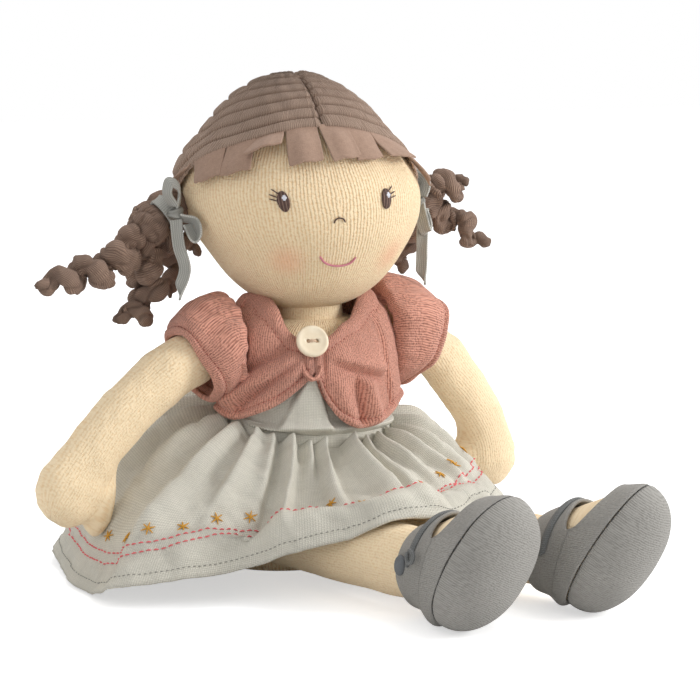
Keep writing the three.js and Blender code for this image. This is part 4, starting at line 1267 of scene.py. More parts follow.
@dataclass
class Face:
    """Head, neck and the sewn face."""

    wardrobe: Wardrobe
    stitches: StitchMaker
    eye_polar: float = 87
    eye_turns: dict[Side, float] = field(default_factory=lambda: {Side.RIGHT: -26.1, Side.LEFT: 25.2})
    eye_half_width: float = 2.7
    eye_half_height: float = 4.6
    eye_threads: int = 15
    thread_radius: float = 0.36
    wale_count: int = 174
    wale_width: float = 2.0
    neck_low: float = 100
    neck_high: float = 127
    neck_radius: float = 16.3
    neck_taper: float = 0.9
    nose_stitch: float = 3.2
    mouth_stitch: float = 3.0
    nose_thread: float = 0.36
    mouth_thread: float = 0.5
    lash_thread: float = 0.3
    glint_thread: float = 0.28
    sewn_step: float = 1.5
    sewn_lift: float = 0.4
    # for each lash, its start and end upward in mm, and outward as shares of the eye's half width
    lash_rows: Rows = ((3.1, 5.4, 0.5, 1.9), (1.7, 3.0, 0.85, 2.25), (0.2, 1.1, 0.95, 2.3))
    # polar angle and turn along each sewn line
    nose_places: Rows = ((76.7, -3.8), (78.6, -2.7), (79.1, -0.8), (78.7, 0.9), (77, 1.9))
    mouth_places: Rows = (
        (58.8, -11.2), (55.4, -8.6), (53.3, -3.8), (53, 2.5), (54.4, 7.6), (57.6, 10.2),
    )

    def build_head(self) -> None:
        """Makes the velour head with wales that run from the crown to the chin."""
        polar = np.linspace(1.5, 178.5, 110)[:, None]
        turn = np.linspace(0, 360, 160, endpoint=False)[None]
        skin = HEAD.point(polar, turn)
        skin = HEAD.point(polar, turn, 0.25 * ripple(skin, 34, 11) + 0.1 * ripple(skin, 12, 12))
        wales = self.wale_count * self.wale_width
        uv = stacked(
            np.linspace(0, wales, 161)[None], np.linspace(0, math.pi * HEAD.radius, 110)[:, None]
        )
        piece = grid_piece("stuffed_head", skin, uv, wrap=True, closed=True)
        self.wardrobe.dress(piece, HEAD_SKIN, "head", "head", padded=0.95)

    def build_neck(self) -> None:
        """Makes the short neck."""
        height = np.linspace(self.neck_low, self.neck_high, 16)[:, None]
        turn = np.radians(np.linspace(0, 360, 72, endpoint=False))[None]
        radius = self.neck_radius - self.neck_taper * smooth_step((height - 108) / 14)
        column = stacked(
            TORSO.lean + radius * np.sin(turn), -radius * np.cos(turn), height + 0 * turn
        )
        piece = grid_piece("stuffed_neck", column, wrap=True, closed=True)
        self.wardrobe.dress(piece, LIMB_SKIN, "neck", "neck", padded=0.9)

    def on_face(self, polar: float, turn: float, across: Array, up: Array, lift: Array) -> Array:
        """Points on the face by their distances, leftward and upward, from a place on it."""
        widen = HEAD.degrees(1) / math.sin(math.radians(polar))
        return HEAD.point(polar + np.asarray(up) * HEAD.degrees(1), turn + np.asarray(across) * widen, lift)

    def build_eye(self, side: Side) -> None:
        """Makes one eye of satin threads, with its glint and its lashes.

        Args:
            side: which eye.
        """
        way, turn = side.value, self.eye_turns[side]
        half, tall = self.eye_half_width, self.eye_half_height
        slant = 0.16 * way
        fills = []
        for share in np.linspace(-0.96, 0.96, self.eye_threads):
            reach = tall * math.sqrt(1 - share**2)
            up = np.linspace(-reach, reach, 7)
            across = share * half + slant * up * 0.5
            dome = 0.25 + 0.75 * math.sqrt(1 - share**2) * np.sqrt(np.clip(1 - (up / tall) ** 2, 0, 1))
            fills.append(self.on_face(self.eye_polar, turn, across, up, dome))
        base_turn = full_turn(48)[None]
        base_share = np.linspace(1, 0.04, 8)[:, None]
        across = base_share * half * np.cos(base_turn)
        up = base_share * tall * np.sin(base_turn)
        swell = 0.75 * np.sqrt(1.001 - base_share**2)
        pad = self.on_face(self.eye_polar, turn, across + slant * up * 0.5, up, swell)
        dark = EYE_THREAD.material(self.wardrobe.groups)
        radius = self.thread_radius * 0.62
        # painted sheen: every fourth satin stitch gets a lighter thread
        name = f"eye_sheen_{side.word}"
        self.stitches.sew(self.wardrobe, name, fills[2::4], radius * 1.15, EYE_SHEEN, ("head",), 0.5, 9)
        threads = self.stitches.make(f"eye_fill_{side.word}", fills, radius, dark, 0.5, 9)
        centre = HEAD.point(self.eye_polar, turn, -20)
        base = grid_piece(f"eye_pad_{side.word}", pad, wrap=True, closed=True, centre=centre)
        base.data.materials.append(dark)
        lashes = []
        for up_start, up_end, out_start, out_end in self.lash_rows:
            ends = np.array([0, 0.5, 1])
            out = way * half * (out_start + (out_end - out_start) * ends)
            up = up_start + (up_end - up_start) * ends
            lashes.append(self.on_face(self.eye_polar, turn, out, up, 0.45))
        lash = self.stitches.make(f"eye_lash_{side.word}", lashes, self.lash_thread, dark, 0.5, 6)
        eye = joined(f"sewn_eye_{side.word}", [base, threads, lash])
        self.wardrobe.dress(eye, EYE_THREAD, "head", f"eye_{side.word}")
        glints = []
        for share in np.linspace(-1, 1, 5):
            up = 1.7 + np.linspace(-1.2, 1.2, 3) * math.sqrt(1.15 - share**2)
            across = 0.6 + share * 0.85 + 0 * up
            glints.append(self.on_face(self.eye_polar, turn, across, up, 1.22))
        name = f"eye_glint_{side.word}"
        self.stitches.sew(self.wardrobe, name, glints, self.glint_thread, GLINT_THREAD, ("head",), 0.6, 5)

    def sewn_line(self, places: Rows, length: float) -> list[Array]:
        """Splits a line on the face into overlapping stitches.

        Args:
            places: pairs of polar angle and turn along the line.
            length: how long a stitch is.

        Returns:
            The guide lines.
        """
        spread = np.asarray(places, float)
        fine = along_rows(np.arange(len(spread)), spread, np.linspace(0, len(spread) - 1, 80))
        line = HEAD.point(fine[:, 0], fine[:, 1], self.sewn_lift)
        walked = walked_along(line)
        lines = []
        for start in np.arange(0, walked[-1] - length * 0.6, self.sewn_step):
            at = np.clip(start + np.linspace(0, length, 4), 0, walked[-1])
            lines.append(read_at(at, walked, line))
        return lines

    def build(self) -> None:
        """Makes the head, the neck and the whole face."""
        self.build_head()
        self.build_neck()
        for side in Side:
            self.build_eye(side)
        sew, wardrobe = self.stitches.sew, self.wardrobe
        nose = self.sewn_line(self.nose_places, self.nose_stitch)
        sew(wardrobe, "sewn_nose", nose, self.nose_thread, EYE_THREAD, ("head", "nose_stitch"), 0.6, 6)
        mouth = self.sewn_line(self.mouth_places, self.mouth_stitch)
        sew(wardrobe, "sewn_mouth", mouth, self.mouth_thread, MOUTH_THREAD, ("head", "mouth_stitch"), 0.6, 6)


@dataclass
class Hair:
    """Pleated cap, fringe tabs, tied bunches, curls and ribbons."""

    wardrobe: Wardrobe
    ease: float = 1.1
    pleats: int = 8
    pleat_lip: float = 1.6
    bunch_radius: float = 7.5
    bunch_length: float = 26
    curl_tube: float = 5.4
    curl_coil: float = 4.5
    curl_pitch: float = 12
    ribbon_width: float = 7
    ribbon_thick: float = 1.1
    edge_rows: Rows = (
        (0, 126), (15, 125), (35, 120), (55, 113), (75, 104), (94, 86), (112, 82), (128, 74), (150, 60),
        (180, 54),
    )
    # share of a bunch's length, and its radius as a share
    stem_rows: Rows = (
        (0, 1.1), (0.18, 0.74), (0.36, 0.74), (0.5, 1.1), (0.64, 1.25), (0.8, 1.15), (0.93, 0.8), (1, 0.4),
    )
    tie_share: float = 0.27
    fringe_lift: float = 2.9
    fringe_thick: float = 1.0
    wrap_width: float = 2.35
    wrap_height: float = 2.1
    wrap_thin: float = 1.15
    wrap_wide: float = 1.5
    # turn and polar angle where a bunch leaves the cap, and the way in which it points
    bunches: dict[Side, tuple[float, float, tuple[float, float, float]]] = field(default_factory=lambda: {
        Side.RIGHT: (-93, 84, (-1, 0.1, -0.7)),
        Side.LEFT: (110, 79, (1, 0.05, 0.1)),
    })
    curl_routes: dict[Side, Rows] = field(default_factory=lambda: {
        Side.RIGHT: (
            ((-0.85, -0.1, -0.5), ((-19, -5, -16), (-36, -8, -20), (-59, -10, -24)), 1.05, 1.6),
            ((0, 0.35, -0.92), ((1, 7, -22), (0, 5, -37), (-17, 1, -42)), 0.95, 0.7),
            ((0.5, 0.72, -0.45), ((21, 21, -14), (22, 25, -36)), 0.9, 0.4),
            ((0.2, 0.95, 0.35), ((24, 31, 3), (41, 34, -18)), 0.85, 1.3),
        ),
        Side.LEFT: (
            ((0.2, -0.5, 0.6), ((4, -5, 8), (12, -6, 5), (20, -7, 9)), 0.9, 1.2),
            ((0.85, 0.1, -0.4), ((14, -1, -9), (24, -3, -17), (34, -5, -23)), 0.95, 2.2),
            ((-0.3, 0.75, -0.6), ((-3, 14, -20), (-2, 16, -36)), 0.85, -0.1),
        ),
    })
    fringe_tabs: Rows = (
        # root turns, tip turns, tip polar angles, lift of the tip, and how far its middle bows out
        (-99, -79, -97, -79, 89, 99, 3.0, 0.5),
        (-78, -58.5, -70, -55, 93.5, 98.5, 1.6, 0.7),
        (-58, -41.5, -55, -39.5, 97.5, 101.5, 1.9, 0.7),
        (-41, -25, -43.5, -25.5, 107.5, 114, 6.0, 0.6),
        (-24.5, -3.8, -22, -5.2, 103, 106, 2.6, 1.2),
        (-3.2, 17.5, -1, 14, 105, 107, 3.0, 1.4),
        (15.5, 34, 12.5, 29, 105.2, 106, 1.3, 0.4),
        (33, 55, 31.5, 57, 106, 104, 4.2, 1.0),
        (54, 72, 62, 73, 96, 90, 3.0, 0.6),
    )

    def edge(self, turn: Array) -> Array:
        """The polar angle of the cap's edge at a turn."""
        return table(self.edge_rows, np.abs(turn))[..., 0]

    def build_cap(self, side: Side) -> None:
        """Makes one pleated half of the cap.

        Args:
            side: which half.
        """
        turn = np.concatenate([
            np.linspace(0, 6, 9)[:-1], np.linspace(6, 174, 112), np.linspace(174, 180, 9)[1:]
        ])
        steps = np.array([0, 0.025, 0.055, 0.1, 0.18, 0.32, 0.5, 0.68, 0.82, 0.9, 0.945, 0.975])
        phase = (np.arange(self.pleats)[:, None] + steps).reshape(-1, 1)
        rise = phase / self.pleats
        rise = rise + (0.4 if side is Side.LEFT else 0.0) * smooth_step(rise * 6) * (1 - rise) / self.pleats
        within = np.mod(phase, 1.0)
        band = 1 - np.abs(2 * within - 1) ** 6 - 0.35 * within
        crown = 1 - smooth_step((rise - 0.86) / 0.12)
        edge = self.edge(turn)[None]
        polar = edge + rise * (180 - edge)
        cloth = HEAD.point(polar, side.value * turn[None])
        lift = self.ease + JERSEY + self.pleat_lip * (band - 0.2) * crown
        lift = lift + 0.35 * ripple(cloth, 15, 21) + 0.3 * np.sin(turn[None] * 1.9 + 9 * rise) * crown
        from_seam = np.minimum(turn, 180 - turn)[None] * math.radians(1) * HEAD.radius
        from_seam = from_seam * np.sin(np.radians(polar))
        lift = lift - (1.3 + 0.5 * crown) * np.exp(-((from_seam / 1.1) ** 2))
        grid = HEAD.point(polar, side.value * turn[None], lift)
        shift = side.value * (SEAM / 2 + 0.1)
        yaw = math.radians(HEAD.yaw)
        grid = grid + np.array([shift * math.cos(yaw), shift * math.sin(yaw), 0])
        uv = stacked(
            turn[None] * math.radians(1) * HEAD.radius * 0.9, rise * 78
        )
        piece = grid_piece(f"cap_{side.word}", grid, uv, centre=HEAD.point(90, 0, -HEAD.radius))
        thicken(piece, JERSEY + 0.4, 0)
        self.wardrobe.dress(piece, HAIR_CLOTH, "head", f"hair_cap_{side.word}")

    def build_fringe(self) -> None:
        """Makes the fringe: tabs of brushed cloth that hang from the cap's edge."""
        tabs = []
        for k, (root_a, root_b, tip_a, tip_b, end_a, end_b, hang, bow) in enumerate(self.fringe_tabs):
            across = np.linspace(0, 1, 19)[None]
            down = np.linspace(0, 1, 17)[:, None]
            root = root_a + (root_b - root_a) * across
            tip = tip_a + (tip_b - tip_a) * across
            turn = root + (tip - root) * down
            top = self.edge(root) + 2.2
            end = end_a + (end_b - end_a) * across
            end = end + 0.35 * np.sin(across * 9 + k) + 0.2 * np.sin(across * 31 + 2 * k)
            polar = top + (end - top) * down
            fold = np.sin((across - 0.5) * math.pi * 1.1) ** 2
            lift = self.fringe_lift + hang * down**1.7 + bow * (1 - fold) * smooth_step(down * 2) * 1.2
            lift = lift + 0.5 * np.sin(across * 5 + k * 1.7) * down + 0.25 * np.sin(down * 7 + k)
            cloth = HEAD.point(polar, turn, lift)
            tab = grid_piece(f"tab_{k}", cloth, centre=HEAD.point(90, 0, -HEAD.radius))
            tabs.append(thicken(tab, self.fringe_thick, 1))
        self.wardrobe.dress(joined("fringe_tabs", tabs), FRINGE_CLOTH, "head", "hair_fringe")

    def bunch(self, side: Side) -> tuple[Array, Array]:
        """Where a bunch leaves the cap, and the way in which it points."""
        turn, polar, way = self.bunches[side]
        return HEAD.point(polar, turn, self.ease + JERSEY), unit(np.asarray(way, float))

    def build_stem(self, side: Side) -> None:
        """Makes the gathered cloth of one bunch.

        Args:
            side: which bunch.
        """
        root, out = self.bunch(side)
        share = np.linspace(0.02, 1, 48)
        path = root + out * (share * self.bunch_length)[:, None]
        radii = table(self.stem_rows, share)[:, 0] * self.bunch_radius
        angle = full_turn(72)[None]
        waist = np.exp(-(((share - self.tie_share) / 0.22) ** 2))[:, None]
        ridges = np.cos(13 * angle + 3 * np.sin(2 * angle))
        gathers = 1 + (0.03 + 0.07 * waist) * ridges * (share[:, None] < 0.99)
        lumps = 1 + 0.07 * np.cos(3 * angle + 5 * share[:, None]) * smooth_step((share[:, None] - 0.4) / 0.2)
        piece = tube_piece(f"bunch_{side.word}", path, radii, 72, (0, 0, 1), gathers * lumps)
        points, normals = points_of(piece), normals_of(piece)
        full = smooth_step(((points - root) @ out / self.bunch_length - 0.42) / 0.12)
        pinch = 1.6 * crease(points, 12, 29) + 0.6 * ripple(points, 7, 30)
        move_points(piece, points + normals * (pinch * full)[:, None])
        self.wardrobe.dress(piece, CURL_CLOTH, "head", f"bunch_stem_{side.word}")

    def build_curl(self, side: Side, index: int, route: tuple) -> None:
        """Makes one curl: a twisted tube of jersey that winds round its path.

        Args:
            side: which bunch it belongs to.
            index: its number there.
            route: its first direction, its places from the bunch, its size and its start off the bunch.
        """
        lead, places, size, off = route
        root, out = self.bunch(side)
        bulb_share, bulb_radius = self.stem_rows[4]
        bulb = root + out * bulb_share * self.bunch_length
        start = unit(np.asarray(lead, float)) * (bulb_radius * self.bunch_radius + off - 2.0)
        middle = path_through(np.vstack([start, np.asarray(places, float)]) + bulb, 260)
        length = length_of(middle)
        turns = max(2, math.floor(length / (self.curl_pitch * size)))
        u = np.linspace(0, 1, len(middle))
        _, side_way, other_way = frames_along(middle, (0.3, -1, 0.2))
        full = 1.22 - 0.6 * u
        coil = self.curl_coil * size * full * np.minimum(1, 0.12 + 3.2 * u) * smooth_step((1 - u) / 0.3)
        spin = 2 * math.pi * turns * u
        path = middle + coil[:, None] * circle(spin, side_way, other_way)
        path = even_points(path, 60 * turns)
        u = np.linspace(0, 1, len(path))
        radii = self.curl_tube * size * (1.12 - 0.5 * u**1.5) * np.minimum(1, 0.8 + 3 * u)
        radii = radii * (1 - 0.35 * smooth_step((u - 0.96) / 0.04))
        radii = radii * (1 + 0.15 * np.sin(2 * math.pi * u * turns * 1.9 + index) * (1 - u**4))
        angle = full_turn(40)[None]
        bumps = 0.10 * np.sin(2 * math.pi * u * turns * 1.6 + index)[:, None] * np.cos(angle + 1)
        flat = 1 + 0.10 * np.cos(2 * angle + 14 * u[:, None] * turns / 2) + bumps
        piece = tube_piece(f"curl_{side.word}_{index}_twist", path, radii, 40, (0.2, 0.3, 1), flat)
        points, normals = points_of(piece), normals_of(piece)
        pinch = crease(points + 300 * index, 13, 31 + index) * 1.5 + 0.45 * ripple(points, 6, 40 + index)
        fade = smooth_step(np.linalg.norm(points - (bulb + start), axis=1) / 6)
        move_points(piece, points + normals * (pinch * fade * size)[:, None])
        self.wardrobe.dress(piece, CURL_CLOTH, f"curls_{side.word}", f"curl_{side.word}_{index}")

    def strip(
        self, name: str, places: Rows, across: Sequence[float], width: float, twist: float = 0.0,
        pointed: float = 0.0,
    ) -> Piece:
        """Makes a strip of knitted tape with curling edges.

        Args:
            name: the piece's name.
            places: what its middle passes through.
            across: roughly the way of its width at its start.
            width: its full width.
            twist: how far it turns from end to end, in degrees.
            pointed: how much of its width a slanting cut takes off its end, as a share.

        Returns:
            The strip.
        """
        path = path_through(places, 60)
        _, side, other = frames_along(path, np.asarray(across, float))
        turned = np.radians(twist) * np.linspace(0, 1, len(path))[:, None]
        wide = side * np.cos(turned) + other * np.sin(turned)
        out = np.cross(np.gradient(path, axis=0), wide)
        out = unit(out)
        share = np.linspace(-1, 1, 13)
        slant = pointed * smooth_step((np.linspace(0, 1, len(path)) - 0.8) / 0.2)[:, None]
        offset = (share[None] * (1 - slant) + slant) * width / 2
        grid = path[:, None] + wide[:, None] * offset[..., None]
        grid = grid + out[:, None] * (0.55 * share**2)[None, :, None]
        wave = 0.25 * np.sin(np.arange(len(path)) / 4.0)
        grid = grid + out[:, None] * wave[:, None, None] * share[None, :, None]
        uv = stacked(
            (share * width / 2)[None], np.linspace(0, 1, len(path))[:, None] * length_of(path)
        )
        piece = grid_piece(name, grid, uv)
        return thicken(piece, self.ribbon_thick, 1)

    def build_ribbon(self, side: Side) -> None:
        """Makes one bow: its band, knot, two loops and tail.

        Args:
            side: which bunch it ties.
        """
        root, out = self.bunch(side)
        tie = root + out * self.tie_share * self.bunch_length
        inner = self.stem_rows[1][1] * self.bunch_radius + LOOSE_SEAM
        outer = inner + self.ribbon_thick
        knot_radius = self.ribbon_width / 2
        knot = tie + np.array([0, -(outer + 0.8 * knot_radius + SEAM), 0])
        body, word = "head", side.word
        turn = full_turn(72)[None]
        _, first, second = frames_along(np.array([tie, tie + out]), (0, 0, 1))
        along = np.linspace(-0.4, 0.4, 9)[:, None] * self.ribbon_width
        share = along / along.max()
        radius = outer + 0.2 + 0.35 * share**2 + 0.25 * np.cos(9 * turn) * share
        ring = tie + along[..., None] * out + radius[..., None] * (
            np.cos(turn)[..., None] * first[0] + np.sin(turn)[..., None] * second[0]
        )
        band = grid_piece(f"bow_band_{word}", ring, wrap=True, centre=tie)
        thicken(band, self.ribbon_thick + 0.3, 1)
        self.wardrobe.dress(band, RIBBON_CLOTH, body, f"ribbon_band_{word}")
        wraps = []
        for k, (tilt, push) in enumerate(((0.0, 0.0), (0.5, 0.9), (-0.45, -0.8))):
            angle = full_turn(40)
            loop = np.stack([
                self.wrap_width * np.cos(angle),
                self.wrap_height * np.sin(angle),
                push + tilt * np.cos(angle) * 1.6,
            ], -1) + knot
            section = full_turn(14)
            tangent = unit(np.roll(loop, -1, 0) - np.roll(loop, 1, 0))
            away = unit(loop - knot - np.array([0, 0, push]))
            third = np.cross(tangent, away)
            wide = self.wrap_thin * np.cos(section)[None, :, None] * away[:, None]
            deep = self.wrap_wide * np.sin(section)[None, :, None] * third[:, None]
            tube = loop[:, None] + wide + deep
            wraps.append(ring_piece(f"knot_{word}_{k}", tube))
        self.wardrobe.dress(joined(f"bow_knot_{word}", wraps), RIBBON_CLOTH, body, f"ribbon_knot_{word}")
        routes = RIBBON_ROUTES[side]
        for part, across, twist, width, pointed in (
            ("loop_upper", (0.2, -1, 0.1), 10, 6.2, 0.0), ("loop_lower", (0.2, -1, 0.3), -20, 6.2, 0.0),
            ("tail", (1, -0.35, 0), 35, 5.8, 0.85),
        ):
            places = np.asarray(routes[part], float) + knot
            piece = self.strip(f"bow_{part}_{word}", places, across, width, twist, pointed)
            self.wardrobe.dress(piece, RIBBON_CLOTH, body, f"ribbon_{part}_{word}")

    def build(self) -> None:
        """Makes all of the hair."""
        for side in Side:
            self.build_cap(side)
        self.build_fringe()
        for side in Side:
            self.build_stem(side)
            for index, route in enumerate(self.curl_routes[side], 1):
                self.build_curl(side, index, route)
            self.build_ribbon(side)


RIBBON_ROUTES = {
    # places from the middle of each knot
    Side.RIGHT: {
        "loop_upper": (
            (-1.8, -1, 3), (-6, -2.5, 9), (-5, -4, 15), (0, -4, 13), (1.5, -2.5, 8), (1.5, -1, 3),
        ),
        "loop_lower": ((1.8, -2, -1), (7, -7, -3), (8, -9, -9), (5.5, -8, -12), (3, -4, -5)),
        "tail": ((-1, -2, -2.5), (-0.6, -4, -14), (2, -5, -25), (-3, -5, -38)),
    },
    Side.LEFT: {
        "loop_upper": ((1.5, -1, 3), (4, 0, 9), (3, 4, 13), (-2, 5, 13), (-3, 1, 9), (-1.8, -1, 3)),
        "loop_lower": ((-0.6, -2.5, -1), (-3, -8, -6), (-1, -9, -13), (1.8, -8, -10), (1.2, -4, -3)),
        "tail": ((1.5, -2, -2), (-0.2, -4, -14), (-0.8, -5, -26), (-2, -6, -38)),
    },
}


def ring_piece(name: str, tube: Array) -> Piece:
    """Makes a closed ring from a grid that wraps both ways.

    Args:
        name: the piece's name.
        tube: points along the ring by points round its section.

    Returns:
        The ring.
    """
    along, around = tube.shape[:2]
    i, j = np.meshgrid(np.arange(along), np.arange(around), indexing="ij")
    following, beside = (i + 1) % along, (j + 1) % around
    here, ahead = i * around, following * around
    quads = np.stack([here + j, here + beside, ahead + beside, ahead + j], -1)
    flat = tube.reshape(-1, 3)
    quads = quads.reshape(-1, 4)
    a, b, c, d = (flat[quads[:, k]] for k in range(4))
    rims = tube.mean(1)[quads[:, 0] // around]
    if (np.cross(c - a, d - b) * ((a + c) / 2 - rims)).sum() < 0:
        quads = quads[:, ::-1]
    pairs = np.stack([quads // around * 0.9, quads % around * 0.6], -1)
    return mesh_piece(name, flat, quads.tolist(), pairs.reshape(-1, 2))


@dataclass
class Dress:
    """Bodice, waistband and gathered skirt of linen, with its sewn trim."""

    wardrobe: Wardrobe
    stitches: StitchMaker
    limbs: Limbs
    reach: float = 120
    columns: int = 420
    rows: int = 64
    fold_count: int = 12
    fold_depth: float = 2.4
    row_shares: tuple[float, ...] = (0, 0.28, 0.5, 0.72, 0.88, 1)
    profile: Rows = (
        (-135, 0.52, 0.55, 0.68, 0.43, 0.82, 0.27, 0.88, 0.13, 0.93, 0.035),
        (-105, 0.5, 0.52, 0.67, 0.4, 0.82, 0.24, 0.9, 0.11, 0.95, 0.03),
        (-75, 0.48, 0.49, 0.66, 0.37, 0.83, 0.24, 0.91, 0.11, 0.975, 0.02),
        (-55, 0.44, 0.45, 0.58, 0.35, 0.7, 0.27, 0.78, 0.24, 0.86, 0.11),
        (-38, 0.4, 0.43, 0.5, 0.33, 0.6, 0.235, 0.7, 0.27, 0.75, 0.155),
        (-22, 0.38, 0.43, 0.49, 0.35, 0.61, 0.295, 0.72, 0.345, 0.79, 0.23),
        (-8, 0.38, 0.43, 0.52, 0.37, 0.66, 0.33, 0.79, 0.39, 0.88, 0.3),
        (10, 0.4, 0.435, 0.54, 0.38, 0.68, 0.34, 0.8, 0.39, 0.89, 0.31),
        (30, 0.42, 0.45, 0.54, 0.395, 0.66, 0.34, 0.75, 0.35, 0.82, 0.29),
        (55, 0.45, 0.47, 0.57, 0.4, 0.66, 0.335, 0.72, 0.3, 0.775, 0.24),
        (85, 0.48, 0.495, 0.6, 0.41, 0.69, 0.33, 0.74, 0.28, 0.79, 0.22),
        (110, 0.5, 0.51, 0.65, 0.41, 0.77, 0.27, 0.83, 0.17, 0.88, 0.09),
        (140, 0.52, 0.54, 0.68, 0.42, 0.82, 0.26, 0.88, 0.13, 0.93, 0.035),
        (180, 0.46, 0.56, 0.62, 0.43, 0.76, 0.26, 0.83, 0.13, 0.88, 0.04),
    )
    pleat_share: float = 1.35
    star_height: float = 26.5
    star_step: float = 15.5
    star_margin: float = 4
    star_arms: tuple[float, float, float] = (3.3, 2.9, 2.9)
    # turn, width in degrees and height
    ridges: Rows = ((-71, 8, 7), (-91, 9, -5), (-51, 8, -4))
    # turn, and how much higher the sewn lines run there
    trim_rise: Rows = (
        (-180, 0), (-84, 0), (-66, 2.5), (-45, 7), (-30, 8.5), (0, 8), (20, 6.5), (38, 3), (60, 0), (180, 0),
    )
    pleats: Rows = (
        # turn, width in degrees, depth, how far down it reaches as a share, and which way it laps
        (-168, 12, 5.0, 0.9, 1), (-148, 11, 5.0, 0.8, 1), (-128, 12, 5.2, 1.0, 1), (-108, 12, 5.5, 1.1, -1),
        (-88, 12, 5.0, 0.8, -1), (-72, 10, 5.0, 1.3, -1), (-57, 10, 5.2, 0.8, -1), (-45, 9, 4.6, 0.9, 1),
        (-33, 10, 6.0, 1.2, 1), (-22, 7, 3.6, 0.6, 1), (-13, 9, 5.6, 1.0, 1), (6, 10, 6.6, 1.1, 1),
        (16, 8, 4.8, 0.95, -1), (27, 8, 4.4, 0.8, -1), (40, 10, 5.6, 1.1, -1), (54, 9, 4.6, 0.9, -1),
        (70, 12, 5.6, 1.2, -1), (88, 11, 5.0, 0.9, -1), (108, 12, 5.4, 1.1, 1), (130, 12, 5.0, 0.9, 1),
        (152, 12, 5.0, 1.0, 1), (172, 10, 4.6, 0.8, 1),
    )

    def clear_of_legs(self, points: Array) -> Array:
        """Moves cloth that would pass through a leg out onto it.

        Args:
            points: the cloth's points.

        Returns:
            The points, each outside both legs.
        """
        room = self.limbs.leg_radius + LINEN + 2 * LOOSE_SEAM
        for side in Side:
            hip, way = self.limbs.hip(side), self.limbs.leg_way(side)
            away = points - hip
            away = away - np.maximum(away @ way, 0)[..., None] * way
            gap = np.linalg.norm(away, axis=-1, keepdims=True)
            points = points + unit(away) * np.maximum(room - gap, 0)
        return points

    def folds(self, turn: Array, fall: Array) -> Array:
        """How far the gathers lift the skirt's cloth.

        Args:
            turn: turns round the skirt, along the last axis.
            fall: shares of the way down, along the first axis.

        Returns:
            The lift for each of them.
        """
        waves = np.cos(np.radians(turn * self.fold_count))
        lift = self.fold_depth * np.sqrt(fall) * waves * (0.4 + 0.6 * fall)
        lift = lift + 1.5 * smooth_step((fall - 0.01) / 0.03) * (1 - 0.5 * fall)
        for at, width, depth, reach, lap in self.pleats:
            p = lap * (np.mod(turn - at + 180, 360) - 180) / width
            knife = smooth_step(1 + p) * (1 - smooth_step(p / 0.34))
            gather = smooth_step(fall / 0.035) * (1 - smooth_step((fall - 0.35 * reach) / (0.65 * reach)))
            lift = lift + self.pleat_share * depth * knife * gather
        for at, width, height in self.ridges:
            lift = lift + height * fall**2 * np.exp(-(((turn - at) / width) ** 2))
        return lift

    def skirt_grid(self) -> Array:
        """The skirt's outer face, from the waist down to the hem."""
        turn = np.linspace(-180, 180, self.columns, endpoint=False)
        fall = np.linspace(0, 1, self.rows)
        shares = round_table(self.profile, turn) * self.reach
        angle = np.radians(turn)
        top = TORSO.point((TORSO.waist(turn) + 1.6) / TORSO.height, turn, TORSO.waist_lift - 0.3 * LINEN)
        stations = [top]
        for k in range(5):
            reach, height = shares[:, 2 * k], shares[:, 2 * k + 1]
            stations.append(np.stack([reach * np.sin(angle), -reach * np.cos(angle), height], -1))
        cloth = along_rows(self.row_shares, np.stack(stations), fall)
        normal = grid_normals(cloth, (0, 0, 20), wrap=True)
        lift = self.folds(turn[None], fall[:, None])
        crumple = 0.9 * ripple(cloth, 21, 51) + 0.5 * ripple(cloth, 9, 52) + 0.9 * crease(cloth, 26, 53)
        lift = lift + crumple * smooth_step(fall[:, None] / 0.1)
        cloth = self.clear_of_legs(cloth + normal * lift[..., None])
        cloth[..., 2] = np.maximum(cloth[..., 2], LINEN)
        return cloth

    def from_hem(self, cloth: Array, distance: float, rise: bool = False) -> tuple[Array, Array]:
        """A line on the skirt at a distance from its hem, with the cloth's outward direction there.

        Args:
            cloth: the skirt's grid.
            distance: how far up from the hem.
            rise: whether it stands further up where the trim does.

        Returns:
            The line's points and the directions at them.
        """
        walked = from_lowest(cloth)
        normal = grid_normals(cloth, (0, 0, 20), wrap=True)[::-1]
        upward = cloth[::-1]
        line, ways = [], []
        turn = np.linspace(-180, 180, cloth.shape[1], endpoint=False)
        away = distance + (table(self.trim_rise, turn)[:, 0] if rise else 0 * turn)
        for j in range(cloth.shape[1]):
            line.append([np.interp(away[j], walked[:, j], upward[:, j, k]) for k in range(3)])
            ways.append([np.interp(away[j], walked[:, j], normal[:, j, k]) for k in range(3)])
        return np.array(line + line[:1]), unit(np.array(ways + ways[:1]))

    def build_skirt(self) -> None:
        """Makes the skirt with its hem stitching, two sewn lines and small sewn stars."""
        cloth = self.skirt_grid()
        hemmed = cloth.copy()
        normal = grid_normals(cloth, (0, 0, 20), wrap=True)
        to_hem = from_lowest(cloth)[::-1]
        pucker = 0.25 * smooth_step((6.5 - to_hem) / 1.0) - 0.45 * np.exp(-(((to_hem - 5.4) / 0.7) ** 2))
        hemmed = hemmed + normal * pucker[..., None]
        hemmed[..., 2] = np.maximum(hemmed[..., 2], LINEN)
        piece = grid_piece("linen_skirt", hemmed, wrap=True, centre=(0, 0, 20))
        thicken(piece, LINEN * 0.8, 0)
        self.wardrobe.dress(piece, LINEN_CLOTH, "torso", "dress_skirt")
